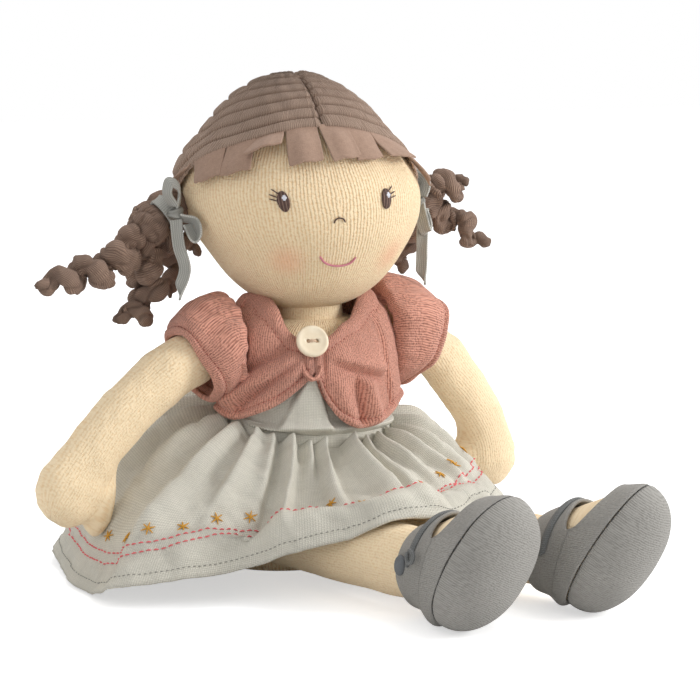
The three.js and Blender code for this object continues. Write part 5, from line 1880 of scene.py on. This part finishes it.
        # name, way up from the hem, finish, stitch, gap, the thread's radius, and lift
        trims = (
            ("hem_topstitch", 5.4, GREY_THREAD, 1.5, 0.9, 0.2, 0.3),
            ("hem_line_low", 14.5, PINK_THREAD, 2.5, 0.8, 0.36, 0.45),
            ("hem_line_high", 19.5, PINK_THREAD, 2.5, 0.8, 0.36, 0.45),
        )
        for name, distance, finish, length, gap, radius, lift in trims:
            line, ways = self.from_hem(hemmed, distance, finish is PINK_THREAD)
            guides = running_stitches(line, ways, length, gap, lift)
            self.stitches.sew(self.wardrobe, name, guides, radius, finish, ("torso",))
        line, ways = self.from_hem(hemmed, self.star_height, True)
        walked = walked_along(line)
        stars = []
        places = np.arange(self.star_margin, walked[-1] - self.star_margin, self.star_step)
        for number, at in enumerate(places):
            centre = read_at(at, walked, line)
            out = unit(read_at(at, walked, ways))
            ahead = read_at(at + 1, walked, line) - centre
            first = unit(ahead - out * (ahead @ out))
            second = np.cross(out, first)
            for k in range(3):
                angle = math.radians(60 * k + 13 * number % 40)
                arm = (first * math.cos(angle) + second * math.sin(angle)) * self.star_arms[k]
                low, top = out * 0.1, out * (0.5 + 0.15 * k)
                stars.append(np.array([centre - arm + low, centre + top, centre + arm + low]))
        self.stitches.sew(self.wardrobe, "hem_stars", stars, 0.38, GOLD_THREAD, ("torso",), 0.5)

    @staticmethod
    def cloth_area(grid: Array) -> float:
        """The area of a grid that wraps, in square millimetres."""
        whole = np.concatenate([grid, grid[:, :1]], 1)
        a, b, c, d = whole[:-1, :-1], whole[:-1, 1:], whole[1:, 1:], whole[1:, :-1]
        return float(np.linalg.norm(np.cross(c - a, d - b), axis=-1).sum() / 2)

    def build_bodice(self) -> None:
        """Makes the bodice, which bags over the waistband and lifts to a peak at its front."""
        turn = np.linspace(-180, 180, 300, endpoint=False)[None]
        rise = np.linspace(0, 1, 70)[:, None]
        low = (TORSO.waist(turn) + 0.75 * TORSO.waistband_height) / TORSO.height
        high = 0.955 - 0.09 * (1 - smooth_step((np.abs(turn + 18) - 25) / 30))
        share = low + (high - low) * rise
        cloth = TORSO.point(share, turn)
        sag = 4.6 * np.exp(-(((share - 0.578) / 0.022) ** 2)) * smooth_step((100 - np.abs(turn + 18)) / 40)
        middle = -25 + 4 * (share - 0.6) / 0.2
        half = 3 + 13 * np.clip((0.79 - share) / 0.19, 0, 1.2)
        inside = 1 - smooth_step((np.abs(turn - middle) - half) / 3.2 + 0.5)
        tall = 1 - smooth_step((share - 0.79) / 0.006 + 0.5)
        peak = 4.6 * inside * tall * smooth_step((share - 0.565) / 0.03)
        lift = TORSO.bodice_ease + LINEN + sag + peak + 0.5 * ripple(cloth, 17, 61) * (share < 0.8)
        grid = TORSO.point(share, turn, lift)
        piece = grid_piece("linen_bodice", grid, wrap=True, centre=(TORSO.lean / 2, 0, 70))
        thicken(piece, LINEN * 0.8, 0)
        self.wardrobe.dress(piece, LINEN_CLOTH, "torso", "dress_bodice")

    def build_waistband(self) -> None:
        """Makes the waistband with its seam."""
        turn = np.linspace(-180, 180, 300, endpoint=False)[None]
        rise = np.linspace(0, 1, 16)[:, None]
        share = (TORSO.waist(turn) + TORSO.waistband_height * rise) / TORSO.height
        cloth = TORSO.point(share, turn)
        lift = TORSO.waist_lift + LINEN * 0.9 + 0.5 * np.sin(math.pi * rise) + 0.3 * ripple(cloth, 14, 63)
        lift = lift - 0.7 * smooth_step((0.12 - rise) / 0.12)
        piece = grid_piece("linen_waistband", TORSO.point(share, turn, lift), wrap=True, centre=(2, 0, 60))
        thicken(piece, LINEN * 0.8, 1)
        self.wardrobe.dress(piece, LINEN_CLOTH, "torso", "dress_waistband")

    def build_torso(self) -> None:
        """Makes the stuffed body under the dress."""
        share = np.linspace(0, 0.995, 50)[:, None]
        turn = np.linspace(-180, 180, 96, endpoint=False)[None]
        piece = grid_piece("stuffed_body", TORSO.point(share, turn), wrap=True, closed=True)
        self.wardrobe.dress(piece, BODY_CLOTH, "torso", "torso", padded=0.8)

    def build(self) -> None:
        """Makes the body and the whole dress."""
        self.build_torso()
        self.build_bodice()
        self.build_waistband()
        self.build_skirt()


@dataclass
class Jacket:
    """Short velour jacket with puffed sleeves, a shell button and a loop."""

    wardrobe: Wardrobe
    stitches: StitchMaker
    limbs: Limbs
    armhole_out: float = 41.5
    back_hem: float = 77
    stitch_inset: float = 4.2
    collar_rise: float = 8.5
    fold_share: float = 1.35
    button_turn: float = -22
    button_share: float = 0.9
    button_radius: float = 7.4
    button_thick: float = 2.6
    hole_share: float = 0.26
    hole_radius: float = 0.95
    loop_radius: float = 4.0
    loop_thick: float = 1.15
    stitch_length: float = 1.7
    stitch_gap: float = 0.9
    stitch_radius: float = 0.22
    fold_radius: float = 38
    edge_radius: float = 36
    sleeves: dict[Side, tuple[float, float]] = field(default_factory=lambda: {
        Side.RIGHT: (21.5, 18), Side.LEFT: (25, 15),
    })
    sleeve_tucks: dict[Side, float] = field(default_factory=lambda: {Side.RIGHT: 1.0, Side.LEFT: 7.0})
    sleeve_sags: dict[Side, Array] = field(default_factory=lambda: {
        Side.RIGHT: np.array([1.6, 0, -2.6]), Side.LEFT: np.array([-1.0, 0, -1.4]),
    })
    fronts: dict[Side, Rows] = field(default_factory=lambda: {
        Side.RIGHT: (
            (-92, 0.635, 0.985), (-73, 0.61, 0.985), (-49, 0.66, 0.955), (-38, 0.7, 0.925),
            (-27, 0.757, 0.91), (-19.5, 0.81, 0.895),
        ),
        Side.LEFT: (
            (-21.5, 0.82, 0.893), (-19, 0.78, 0.898), (-13, 0.69, 0.913), (-6, 0.625, 0.93),
            (2, 0.585, 0.95), (12, 0.57, 0.965), (24, 0.58, 0.98), (36, 0.605, 0.985), (60, 0.65, 0.985),
            (92, 0.67, 0.985),
        ),
    })
    folds: dict[Side, Rows] = field(default_factory=lambda: {
        # from turn and share, to turn and share, half width in mm, and height
        Side.RIGHT: (
            (-24, 0.88, -78, 0.70, 3.8, 3.4), (-24, 0.86, -58, 0.655, 3.2, 2.6),
            (-34, 0.93, -80, 0.86, 3.8, 3.0),
            (-26, 0.865, -70, 0.665, 1.4, -2.4), (-30, 0.90, -80, 0.78, 1.5, -2.6),
        ),
        Side.LEFT: (
            (-14, 0.86, 30, 0.80, 3.2, 2.6), (-8, 0.80, 4, 0.60, 3.6, 2.4), (14, 0.78, 22, 0.62, 3.4, 3.0),
            (8, 0.80, 12, 0.60, 1.5, -2.6), (-12, 0.84, 34, 0.75, 1.5, -2.5),
            (34, 0.96, 40, 0.66, 1.8, -2.6),
        ),
    })

    @property
    def lift(self) -> float:
        """How far the jacket's inner face stands off the body."""
        return TORSO.waist_lift + LINEN + SEAM

    def kept_in(self, points: Array) -> Array:
        """Draws the cloth in at the armholes, where the sleeves cover it.

        Args:
            points: the cloth's points.

        Returns:
            The points, none of them further out than the armhole inside a sleeve.
        """
        for side in Side:
            radius = self.sleeves[side][0] - 1.5
            centre = self.limbs.shoulder(side)
            gap = np.hypot(points[..., 1] - centre[1], points[..., 2] - centre[2])
            inside = smooth_step((radius - gap) / 3)
            wall = side.value * (self.armhole_out - 1) + TORSO.lean
            over = np.maximum(side.value * (points[..., 0] - wall), 0)
            points = points.copy()
            points[..., 0] -= side.value * over * inside
        return points

    def panel(
        self, name: str, turn: Array, low: Array, high: Array, edges: tuple[bool, bool], folds: Rows
    ) -> tuple[Piece, Array, Array]:
        """Makes one panel with a rolled hem and soft folds.

        Args:
            name: the piece's name.
            turn: the turns of its columns.
            low: the share of its lower edge at each turn.
            high: the share of its upper edge at each turn.
            edges: whether its first and its last column are free edges.
            folds: the folds that run over it.

        Returns:
            The piece, and the lower and upper lines of its topstitching.
        """
        rows = 60
        rise = np.linspace(0, 1, rows)[:, None]
        share = low[None] + (high - low)[None] * rise
        around = np.broadcast_to(turn[None], share.shape)
        base = TORSO.point(share, around)
        down = (share - low[None]) * TORSO.height
        upward = (high[None] - share) * TORSO.height
        steps = [np.radians(np.abs(around - end)) * self.edge_radius for end in (turn[0], turn[-1])]
        edge = np.minimum(down, upward)
        for free, gap in zip(edges, steps):
            edge = np.minimum(edge, gap) if free else edge
        lift = self.lift + VELOUR * (1 + (1 - rise) ** 2)
        roll = 0.75 * smooth_step((self.stitch_inset - edge) / 1.2)
        groove = -0.95 * np.exp(-(((edge - self.stitch_inset - 0.4) / 0.75) ** 2))
        tuck = -1.6 * smooth_step((1.6 - edge) / 1.6)
        lift = lift + roll + groove + tuck + 0.8 * ripple(base, 19, 71) + 0.3 * ripple(base, 7, 72)
        places = np.stack([np.radians(around) * self.fold_radius, share * TORSO.height], -1)
        for turn_a, share_a, turn_b, share_b, half, height in folds:
            a = np.array([math.radians(turn_a) * self.fold_radius, share_a * TORSO.height])
            b = np.array([math.radians(turn_b) * self.fold_radius, share_b * TORSO.height])
            along = np.clip(((places - a) @ (b - a)) / ((b - a) @ (b - a)), 0, 1)
            gap = np.linalg.norm(places - (a + along[..., None] * (b - a)), axis=-1)
            shape = np.exp(-((gap / half) ** 2)) * np.minimum(1, 3 * along * (1.6 - along))
            lift = lift + self.fold_share * height * shape
        lift = np.maximum(lift, self.lift + 0.8)
        grid = self.kept_in(TORSO.point(share, around, lift))
        side_on = smooth_step((np.abs(np.sin(np.radians(around))) - 0.3) / 0.6)
        grid[..., 2] += self.collar_rise * side_on * smooth_step((share - 0.86) / 0.12)
        piece = grid_piece(name, grid, centre=(TORSO.lean, 0, 85))
        thicken(piece, VELOUR, 1)
        normal = grid_normals(grid, (TORSO.lean, 0, 85))
        lines = []
        for inset, falling in ((self.stitch_inset + 0.4, down), (self.stitch_inset + 0.4, upward)):
            row = np.abs(falling - inset).argmin(0)
            pick = (row, np.arange(len(turn)))
            lines.append(np.concatenate([grid[pick], normal[pick]], -1))
        return piece, lines[0], lines[1]

    def sew(self, name: str, line: Array, body: str) -> None:
        """Sews a line of topstitching."""
        guides = running_stitches(line[:, :3], line[:, 3:], self.stitch_length, self.stitch_gap, 0.25)
        self.stitches.sew(self.wardrobe, name, guides, self.stitch_radius, ROSE_THREAD, (body,))

    def build_front(self, side: Side) -> None:
        """Makes one front.

        Args:
            side: which front.
        """
        rows = np.asarray(self.fronts[side], float)
        turn = np.linspace(rows[0, 0], rows[-1, 0], 90)
        shares = table(rows, turn)
        free = (side is Side.LEFT, side is Side.RIGHT)
        name = f"velour_front_{side.word}"
        piece, lower, upper = self.panel(name, turn, shares[:, 0], shares[:, 1], free, self.folds[side])
        self.wardrobe.dress(piece, VELOUR_CLOTH, "torso", f"jacket_front_{side.word}")
        visible = slice(22, -3) if side is Side.RIGHT else slice(3, -26)
        self.sew(f"front_hem_{side.word}", lower[visible], "torso")
        self.sew(f"front_neck_{side.word}", upper[visible], "torso")

    def build_back(self) -> None:
        """Makes the back."""
        turn = np.linspace(88.5, 271.5, 110)
        low = np.full_like(turn, self.back_hem / TORSO.height)
        high = np.full_like(turn, 0.975)
        folds = (
            (120, 0.74, 150, 0.92, 4.0, 1.2), (240, 0.74, 212, 0.93, 4.0, 1.2),
            (180, 0.7, 176, 0.9, 3.0, 0.9),
        )
        piece, lower, _ = self.panel("velour_back", turn, low, high, (False, False), folds)
        self.wardrobe.dress(piece, VELOUR_CLOTH, "torso", "jacket_back")
        self.sew("back_hem", lower[12:-12], "torso")

    def build_sleeve(self, side: Side) -> None:
        """Makes one puffed sleeve, gathered into its armhole.

        Args:
            side: which sleeve.
        """
        radius, reach = self.sleeves[side]
        shoulder = self.limbs.shoulder(side)
        wall = side.value * (self.armhole_out - self.sleeve_tucks[side]) + TORSO.lean
        start = np.array([wall, 0, self.limbs.shoulder_height])
        arm = self.limbs.arm_path(side, 400)
        walked = walked_along(arm)
        on_arm = [[np.interp(d, walked, arm[:, k]) for k in range(3)] for d in (reach / 2, reach)]
        path = path_through(np.vstack([start, shoulder, *on_arm]), 46)
        share = np.linspace(0, 1, len(path))
        path = path + smooth_step(share)[:, None] * self.sleeve_sags[side]
        size = table(((0, 0.97), (0.12, 1), (0.4, 1.03), (0.7, 1.0), (1, 0.82)), share)[:, 0] * radius
        mouth = 0.8
        rounding = np.sqrt(1 - (1 - np.clip(share / 0.22, 0, 1)) ** 2)
        size = size * (mouth + (1 - mouth) * rounding)
        length = length_of(path)
        from_start = (share * length)[:, None]
        to_end = ((1 - share) * length)[:, None]
        turn = full_turn(150)[None]
        tangent = unit(np.gradient(path, axis=0))
        width_way = unit(np.cross(np.cross(tangent, (0, 0, 1)), tangent))
        depth_way = np.cross(tangent, width_way)
        gathers = 0.9 * np.cos(17 * turn + 2 * np.sin(3 * turn)) * np.exp(-from_start / 6)
        soft = 1.2 * np.cos(3 * turn + side.value + 1.5 * share[:, None])
        soft = soft + 0.9 * np.cos(5 * turn + 2.6 * share[:, None])
        inset = self.stitch_inset + 0.3
        hem = 0.7 * smooth_step((inset - 0.5 - to_end) / 1.2)
        hem = hem - 1.0 * np.exp(-(((to_end - inset) / 0.75) ** 2))
        tuck = -1.4 * smooth_step((1.5 - to_end) / 1.5) - 1.2 * smooth_step((2.0 - from_start) / 2.0)
        outward = circle(turn, width_way[:, None], depth_way[:, None])
        base = path[:, None] + size[:, None, None] * outward
        ring = size[:, None] + gathers + soft * smooth_step(from_start / 6) + hem + tuck
        ring = ring + 0.6 * ripple(base, 15, 81)
        grid = path[:, None] + ring[..., None] * outward
        behind = np.minimum(side.value * (grid[..., 0] - wall), 0)
        grid[..., 0] -= side.value * behind
        piece = grid_piece(f"velour_sleeve_{side.word}", grid, wrap=True, centre=path[len(path) // 2])
        thicken(piece, VELOUR, 1)
        self.wardrobe.dress(piece, VELOUR_CLOTH, f"arm_{side.word}", f"jacket_sleeve_{side.word}")
        normal = grid_normals(grid, path[len(path) // 2], wrap=True)
        row = int(np.abs(to_end[:, 0] - inset).argmin())
        line = np.concatenate([grid[row], normal[row]], -1)
        self.sew(f"sleeve_hem_{side.word}", np.vstack([line, line[:1]]), f"arm_{side.word}")

    def build_button(self) -> None:
        """Makes the shell button with its two holes and thread, and the loop below it."""
        base = TORSO.point(self.button_share, self.button_turn, self.lift + VELOUR + SEAM + LOOSE_SEAM)
        raised = TORSO.point(self.button_share, self.button_turn, self.lift + VELOUR + SEAM + VELOUR)
        out = unit(raised - base)
        first = unit(np.cross((0, 0, 1), out))
        second = np.cross(out, first)
        base = base + out * 0.9
        outline = np.array([
            (0, 0), (0.5, 0), (0.84, 0), (0.95, 0.12), (1.0, 0.34), (1.0, 0.6), (0.97, 0.84), (0.91, 0.97),
            (0.84, 1.0), (0.77, 0.95), (0.70, 0.86), (0.55, 0.79), (0.3, 0.75), (0, 0.74),
        ])
        turn = full_turn(72)[None]
        radius = np.maximum(outline[:, :1] * self.button_radius, 0.01)
        height = outline[:, 1:] * self.button_thick
        grid = base + radius[..., None] * circle(turn, first, second)
        grid = grid + height[..., None] * out
        disc = grid_piece("button_disc", grid, wrap=True, closed=True)
        across = self.hole_share * self.button_radius
        for way in (-1, 1):
            rings = np.array([-self.button_thick, 2 * self.button_thick])[:, None]
            centre = base + first * way * across
            bore = centre + rings[..., None] * out + self.hole_radius * circle(turn, first, second)
            cut_with(disc, grid_piece("bore", bore, wrap=True, closed=True))
        disc.data.polygons.foreach_set("use_smooth", np.ones(len(disc.data.polygons), bool))
        self.wardrobe.dress(disc, SHELL, "torso", "jacket_button")
        disc.name = "shell_button"
        top = base + out * 0.74 * self.button_thick
        strands = []
        for offset in (-0.32, 0, 0.32):
            across_way = np.linspace(-across, across, 5)[:, None]
            arch = np.array([-0.9, 0.35, 0.45, 0.35, -0.9])[:, None]
            strands.append(top + first * across_way + second * offset + out * arch)
        places = ("torso", "button_thread")
        self.stitches.sew(self.wardrobe, "button_strands", strands, 0.28, HOLE_THREAD, places, 0.9, 9)
        centre = TORSO.point(self.button_share - 0.085, self.button_turn, self.lift + VELOUR + 2.2)
        turns = np.radians(np.linspace(-200, 20, 30))
        radii = self.loop_radius + 0.4 * np.sin(3 * turns)
        loop = centre + radii[:, None] * circle(turns, first, second)
        beads = self.loop_thick * (1 + 0.16 * np.cos(np.linspace(0, 30, len(loop) * 3)))
        piece = tube_piece("velour_loop", even_points(loop, len(loop) * 3), beads, 16, out)
        self.wardrobe.dress(piece, VELOUR_CLOTH, "torso", "jacket_loop")

    def build(self) -> None:
        """Makes the whole jacket."""
        self.build_back()
        for side in Side:
            self.build_front(side)
            self.build_sleeve(side)
        self.build_button()


@dataclass
class Shoes:
    """Strapped shoes of ribbed jersey."""

    wardrobe: Wardrobe
    stitches: StitchMaker
    limbs: Limbs
    leg_length: float = 131
    half_height: float = 31
    half_width: float = 21.5
    upper_depth: float = 33
    sole_depth: float = 21
    dome_power: float = 2.35
    leather: float = 1.6
    stud_radius: float = 3.2
    seam_stitch: float = 2.2
    seam_gap: float = 1.0
    seam_thread: float = 0.26
    loop_long: float = 2.6
    loop_wide: float = 1.9
    loop_thick: float = 0.95
    foot_yaw: dict[Side, float] = field(default_factory=lambda: {Side.RIGHT: 28, Side.LEFT: 36})
    foot_pitch: dict[Side, float] = field(default_factory=lambda: {Side.RIGHT: 25, Side.LEFT: 31})
    foot_roll: dict[Side, float] = field(default_factory=lambda: {Side.RIGHT: 24, Side.LEFT: 12})
    shares: Rows = (
        (-1, 0.57, 0.81), (-0.66, 0.71, 0.89), (-0.33, 0.91, 0.97), (0, 1, 1), (0.45, 0.96, 0.96),
        (0.78, 0.82, 0.82), (1, 0.6, 0.6),
    )
    strap_places: tuple[float, float] = (-0.75, -0.64)
    strap_reach: float = 92
    stud_place: float = -0.86
    stud_turn: float = 86
    mouth_place: float = -0.42
    mouth_half: float = 0.18
    mouth_reach: float = 72

    def __post_init__(self) -> None:
        """Works out each foot's directions."""
        self.toe: dict[Side, Array] = {}
        self.sole: dict[Side, Array] = {}
        self.drop: dict[Side, float] = {Side.RIGHT: 0.0, Side.LEFT: 0.0}
        up = np.array(UP)
        for side in Side:
            yaw = math.radians(self.foot_yaw[side])
            foot = np.array([math.sin(yaw), -math.cos(yaw), 0])
            toe = up + foot * math.tan(math.radians(self.foot_pitch[side]))
            toe = unit(toe + np.cross(up, foot) * math.tan(math.radians(self.foot_roll[side])))
            self.toe[side] = toe
            self.sole[side] = unit(foot - toe * (foot @ toe))
            turn = np.linspace(0, 360, 16, endpoint=False)[None]
            at = np.array([r[0] for r in self.shares if r[0] >= 0])[:, None]
            self.drop[side] = float(self.point(side, at, turn)[..., 2].min())

    def point(self, side: Side, at: Array, turn: Array, grow: Array = 0.0) -> Array:
        """Points on a shoe.

        Args:
            side: which shoe.
            at: places along it, -1 at the ankle, 0 at the sole's seam and 1 at the front of the sole.
            turn: degrees from the toe toward the doll's left.
            grow: how far the points stand off the shoe.

        Returns:
            The points.
        """
        at, turn, grow = matched(at, turn, grow)
        size = table(self.shares, at)
        blend = np.clip(1 + at, 0, 1)[..., None]
        up = np.array(UP)
        way, hip = self.limbs.leg_way(side), self.limbs.hip(side)
        long = unit(up * (1 - blend) + self.toe[side] * blend)
        ahead = way * (1 - blend) + self.sole[side] * blend
        wide = unit(np.cross(long, ahead))
        ankle = hip + way * (self.leg_length - self.upper_depth)
        seam = hip + way * self.leg_length - up * self.drop[side]
        angle = np.radians(turn)
        place = ankle * (1 - blend) + seam * blend
        place = place + self.sole[side] * (np.maximum(at, 0) * self.sole_depth)[..., None]
        place = place + long * ((size[..., 0] * self.half_height + grow) * np.cos(angle))[..., None]
        return place + wide * ((size[..., 1] * self.half_width + grow) * np.sin(angle))[..., None]

    def build_sole(self, side: Side) -> None:
        """Makes the rounded front of one shoe, with its seam.

        Args:
            side: which shoe.
        """
        angle = np.concatenate([np.linspace(0, 8, 7)[:-1], np.linspace(8, 88, 40)])[:, None]
        rise = self.sole_depth * np.sin(np.radians(angle)) ** (2 / self.dome_power)
        shrink = np.cos(np.radians(angle)) ** (2 / self.dome_power)
        turn = np.linspace(0, 360, 160, endpoint=False)[None]
        rim = self.point(side, 0, turn)
        centre = self.point(side, 0, 0) * 0.5 + self.point(side, 0, 180) * 0.5
        grid = centre + (rim - centre) * shrink[..., None] + self.sole[side] * rise[..., None]
        tuck = -0.8 * np.exp(-((rise / 0.8) ** 2)) + 0.25 * ripple(grid, 24, 91)
        grid = grid + unit(grid - centre) * tuck[..., None]
        across = (grid - centre) @ unit(np.cross(self.toe[side], self.sole[side]))
        along = (grid - centre) @ self.toe[side]
        pairs = np.stack([along + 0.004 * across**2, across], -1)
        uv = np.concatenate([pairs, pairs[:, :1]], 1)
        piece = grid_piece(f"jersey_sole_{side.word}", grid, uv, wrap=True, closed=True)
        self.wardrobe.dress(piece, SHOE_CLOTH, f"leg_{side.word}", f"shoe_sole_{side.word}", padded=0.9)
        ways = grid_normals(grid, centre - self.sole[side] * 20, wrap=True)[0]
        seam = self.point(side, 0, np.linspace(0, 360, 161), -0.9)
        around = np.vstack([ways, ways[:1]])
        guides = running_stitches(seam, around, self.seam_stitch, self.seam_gap, 0.1)
        name, places = f"sole_seam_{side.word}", (f"leg_{side.word}",)
        self.stitches.sew(self.wardrobe, name, guides, self.seam_thread, SEAM_THREAD, places, 0.7)

    def build_upper(self, side: Side) -> None:
        """Makes the upper of one shoe with its opening over the foot.

        Args:
            side: which shoe.
        """
        turn = np.linspace(-180, 180, 180, endpoint=False)[None]
        half = self.mouth_half * np.sqrt(np.clip(1 - (turn / self.mouth_reach) ** 2, 0.0004, 1))
        back, front = self.mouth_place - half, self.mouth_place + half
        behind = -1 + (back + 1) * np.linspace(0, 1, 18)[:, None]
        ahead = front + (-0.012 - front) * np.linspace(0, 1, 26)[:, None]
        at = np.concatenate([behind, ahead])
        base = self.point(side, at, turn)
        tuck = -0.9 * np.exp(-((at * self.upper_depth / 0.8) ** 2))
        tuck = tuck - 0.8 * np.exp(-(((at + 1) * self.upper_depth / 1.2) ** 2))
        rim = 0.5 * np.exp(-(((at - front) * self.upper_depth / 1.4) ** 2))
        rim = rim * (np.abs(turn) < self.mouth_reach)
        grid = self.point(side, at, turn, tuck + rim + 0.35 * ripple(base, 16, 95))
        keep = np.ones((len(at) - 1, turn.shape[1]), bool)
        keep[17] = np.abs(turn[0] + 1) >= self.mouth_reach - 1
        piece = grid_piece(f"jersey_upper_{side.word}", grid, wrap=True, centre=base.mean((0, 1)), keep=keep)
        thicken(piece, self.leather, 1)
        self.wardrobe.dress(piece, SHOE_CLOTH, f"leg_{side.word}", f"shoe_upper_{side.word}")

    def build_strap(self, side: Side) -> None:
        """Makes the strap, its covered stud and the small knotted loop beside it.

        Args:
            side: which shoe.
        """
        low, high = self.strap_places
        share = np.linspace(0, 1, 16)[:, None]
        turn = np.linspace(-self.strap_reach, self.strap_reach, 90)[None]
        round_up = 1.3 * np.sin(math.pi * share)
        grid = self.point(side, low + (high - low) * share, turn, 0.4 + round_up)
        centre = self.point(side, low, 0) * 0.5 + self.point(side, low, 180) * 0.5
        strap = grid_piece(f"jersey_strap_{side.word}", grid, centre=centre)
        thicken(strap, self.leather, 1)
        body = f"leg_{side.word}"
        self.wardrobe.dress(strap, STRAP_CLOTH, body, f"shoe_strap_{side.word}")
        spot = self.point(side, self.stud_place, side.value * self.stud_turn, 0)
        out = unit(self.point(side, self.stud_place, side.value * self.stud_turn, 10) - spot)
        long = unit(np.cross(out, self.limbs.leg_way(side)))
        wide = np.cross(long, out)
        turn = full_turn(48)[None]
        rows = np.array([(1.0, 0), (1.0, 0.5), (0.93, 1.0), (0.75, 1.5), (0.45, 1.85), (0.1, 2.0)])
        dome = spot + rows[:, :1, None] * self.stud_radius * (
            1.35 * np.cos(turn)[..., None] * long + 0.95 * np.sin(turn)[..., None] * wide
        ) + rows[:, 1:, None] * out
        stud = grid_piece(f"covered_stud_{side.word}", dome, wrap=True, closed=True)
        self.wardrobe.dress(stud, STUD_CLOTH, body, f"shoe_stud_{side.word}")
        anchor = self.point(side, high + 0.06, side.value * self.stud_turn, LOOSE_SEAM + self.leather + 0.8)
        angle = np.radians(np.linspace(-30, 300, 26))
        curve = anchor + self.loop_long * np.cos(angle)[:, None] * long
        curve = curve + self.loop_wide * np.sin(angle)[:, None] * wide + out * 0.9
        loop = tube_piece(f"strap_loop_{side.word}", even_points(curve, 60), np.full(60, self.loop_thick), 12, out)
        self.wardrobe.dress(loop, STRAP_CLOTH, body)

    def build(self) -> None:
        """Makes both shoes."""
        for side in Side:
            self.build_sole(side)
            self.build_upper(side)
            self.build_strap(side)


@dataclass
class Studio:
    """Floor, lights and the camera at the photograph's angle."""

    azimuth: float = -30
    elevation: float = 8
    distance: float = 1100
    lens: float = 120.5
    aim_right: float = 23.5
    aim_up: float = 97.7
    floor_size: float = 9000

    def build_camera(self) -> None:
        """Makes the camera."""
        turn, rise = math.radians(self.azimuth), math.radians(self.elevation)
        back = Vector((math.sin(turn) * math.cos(rise), -math.cos(turn) * math.cos(rise), math.sin(rise)))
        right = Vector((math.cos(turn), math.sin(turn), 0))
        aim = (right * self.aim_right + back.cross(right) * self.aim_up) * MM
        data = bpy.data.cameras.new("camera")
        data.lens, data.sensor_width = self.lens, 36
        data.clip_start, data.clip_end = 0.01, 50
        camera = placed("camera", data)
        camera.location = aim + back * self.distance * MM
        camera.rotation_mode = "QUATERNION"
        camera.rotation_quaternion = (-back).to_track_quat("-Z", "Y")
        bpy.context.scene.camera = camera

    @staticmethod
    def seen_share(sheet: Sheet) -> Socket:
        """One where a camera, glossy or transmission ray looks, and zero for all others."""
        ray = sheet.add("ShaderNodeLightPath")
        seen = sheet.math("MAXIMUM", ray.outputs["Is Camera Ray"], ray.outputs["Is Glossy Ray"])
        return sheet.math("MAXIMUM", seen, ray.outputs["Is Transmission Ray"])

    def build_floor(self) -> None:
        """Makes the pale floor, which stays white to the camera and keeps a soft shadow."""
        half = self.floor_size / 2
        corners = np.array([
            (-half, -half, -0.4), (half, -half, -0.4), (half, half, -0.4), (-half, half, -0.4),
        ])
        floor = mesh_piece("floor", corners, [[0, 1, 2, 3]])
        made = bpy.data.materials.new("floor_white")
        made.use_nodes = True
        sheet = Sheet(made.node_tree)
        made.node_tree.nodes.remove(made.node_tree.nodes["Principled BSDF"])
        out = made.node_tree.nodes["Material Output"]
        matte = sheet.add("ShaderNodeBsdfDiffuse", {"Color": (0.86, 0.86, 0.86, 1)})
        glow = sheet.add("ShaderNodeEmission", {"Color": (1, 1, 1, 1), "Strength": 0.55})
        both = sheet.add("ShaderNodeAddShader", {0: matte.outputs[0], 1: glow.outputs[0]})
        ends = {0: self.seen_share(sheet), 1: matte.outputs[0], 2: both.outputs[0]}
        mixed = sheet.add("ShaderNodeMixShader", ends)
        sheet.join(mixed.outputs[0], out.inputs["Surface"])
        floor.data.materials.append(made)

    def build_lamps(self) -> None:
        """Makes the soft lamps and the world."""
        scene = bpy.context.scene
        world = bpy.data.worlds.new("studio")
        scene.world = world
        world.use_nodes = True
        sheet = Sheet(world.node_tree)
        plain = world.node_tree.nodes["Background"]
        plain.inputs["Color"].default_value = (1, 1, 1, 1)
        plain.inputs["Strength"].default_value = 0.68
        bright = sheet.add("ShaderNodeBackground", {"Color": (1, 1, 1, 1), "Strength": 1.0})
        ends = {0: self.seen_share(sheet), 1: plain.outputs[0], 2: bright.outputs[0]}
        mixed = sheet.add("ShaderNodeMixShader", ends)
        sheet.join(mixed.outputs[0], world.node_tree.nodes["World Output"].inputs["Surface"])
        for name, place, size, power in (
            ("key", (1.4, -1.05, 0.8), 0.7, 21.0),
            ("fill", (-1.5, -0.7, 0.9), 1.2, 2.0),
            ("top", (0.5, 0.3, 1.7), 0.9, 9.0),
        ):
            data = bpy.data.lights.new(name, "AREA")
            data.energy, data.size = power, size
            lamp = placed(name, data)
            lamp.location = place
            aim = Vector((0, 0, 0.1)) - lamp.location
            lamp.rotation_mode = "QUATERNION"
            lamp.rotation_quaternion = aim.to_track_quat("-Z", "Y")

    def build(self) -> None:
        """Makes the whole studio."""
        bpy.context.scene.view_settings.view_transform = "Standard"
        self.build_camera()
        self.build_floor()
        self.build_lamps()


def main() -> None:
    """Builds the doll's looks piece by piece."""
    logging.basicConfig(level=logging.INFO, format="%(name)s %(message)s")
    Studio().build()
    wardrobe, stitches = Wardrobe(), StitchMaker()
    limbs = Limbs(wardrobe)
    limbs.build()
    Face(wardrobe, stitches).build()
    Hair(wardrobe).build()
    Dress(wardrobe, stitches, limbs).build()
    Jacket(wardrobe, stitches, limbs).build()
    Shoes(wardrobe, stitches, limbs).build()


if __name__ == "__main__":
    main()
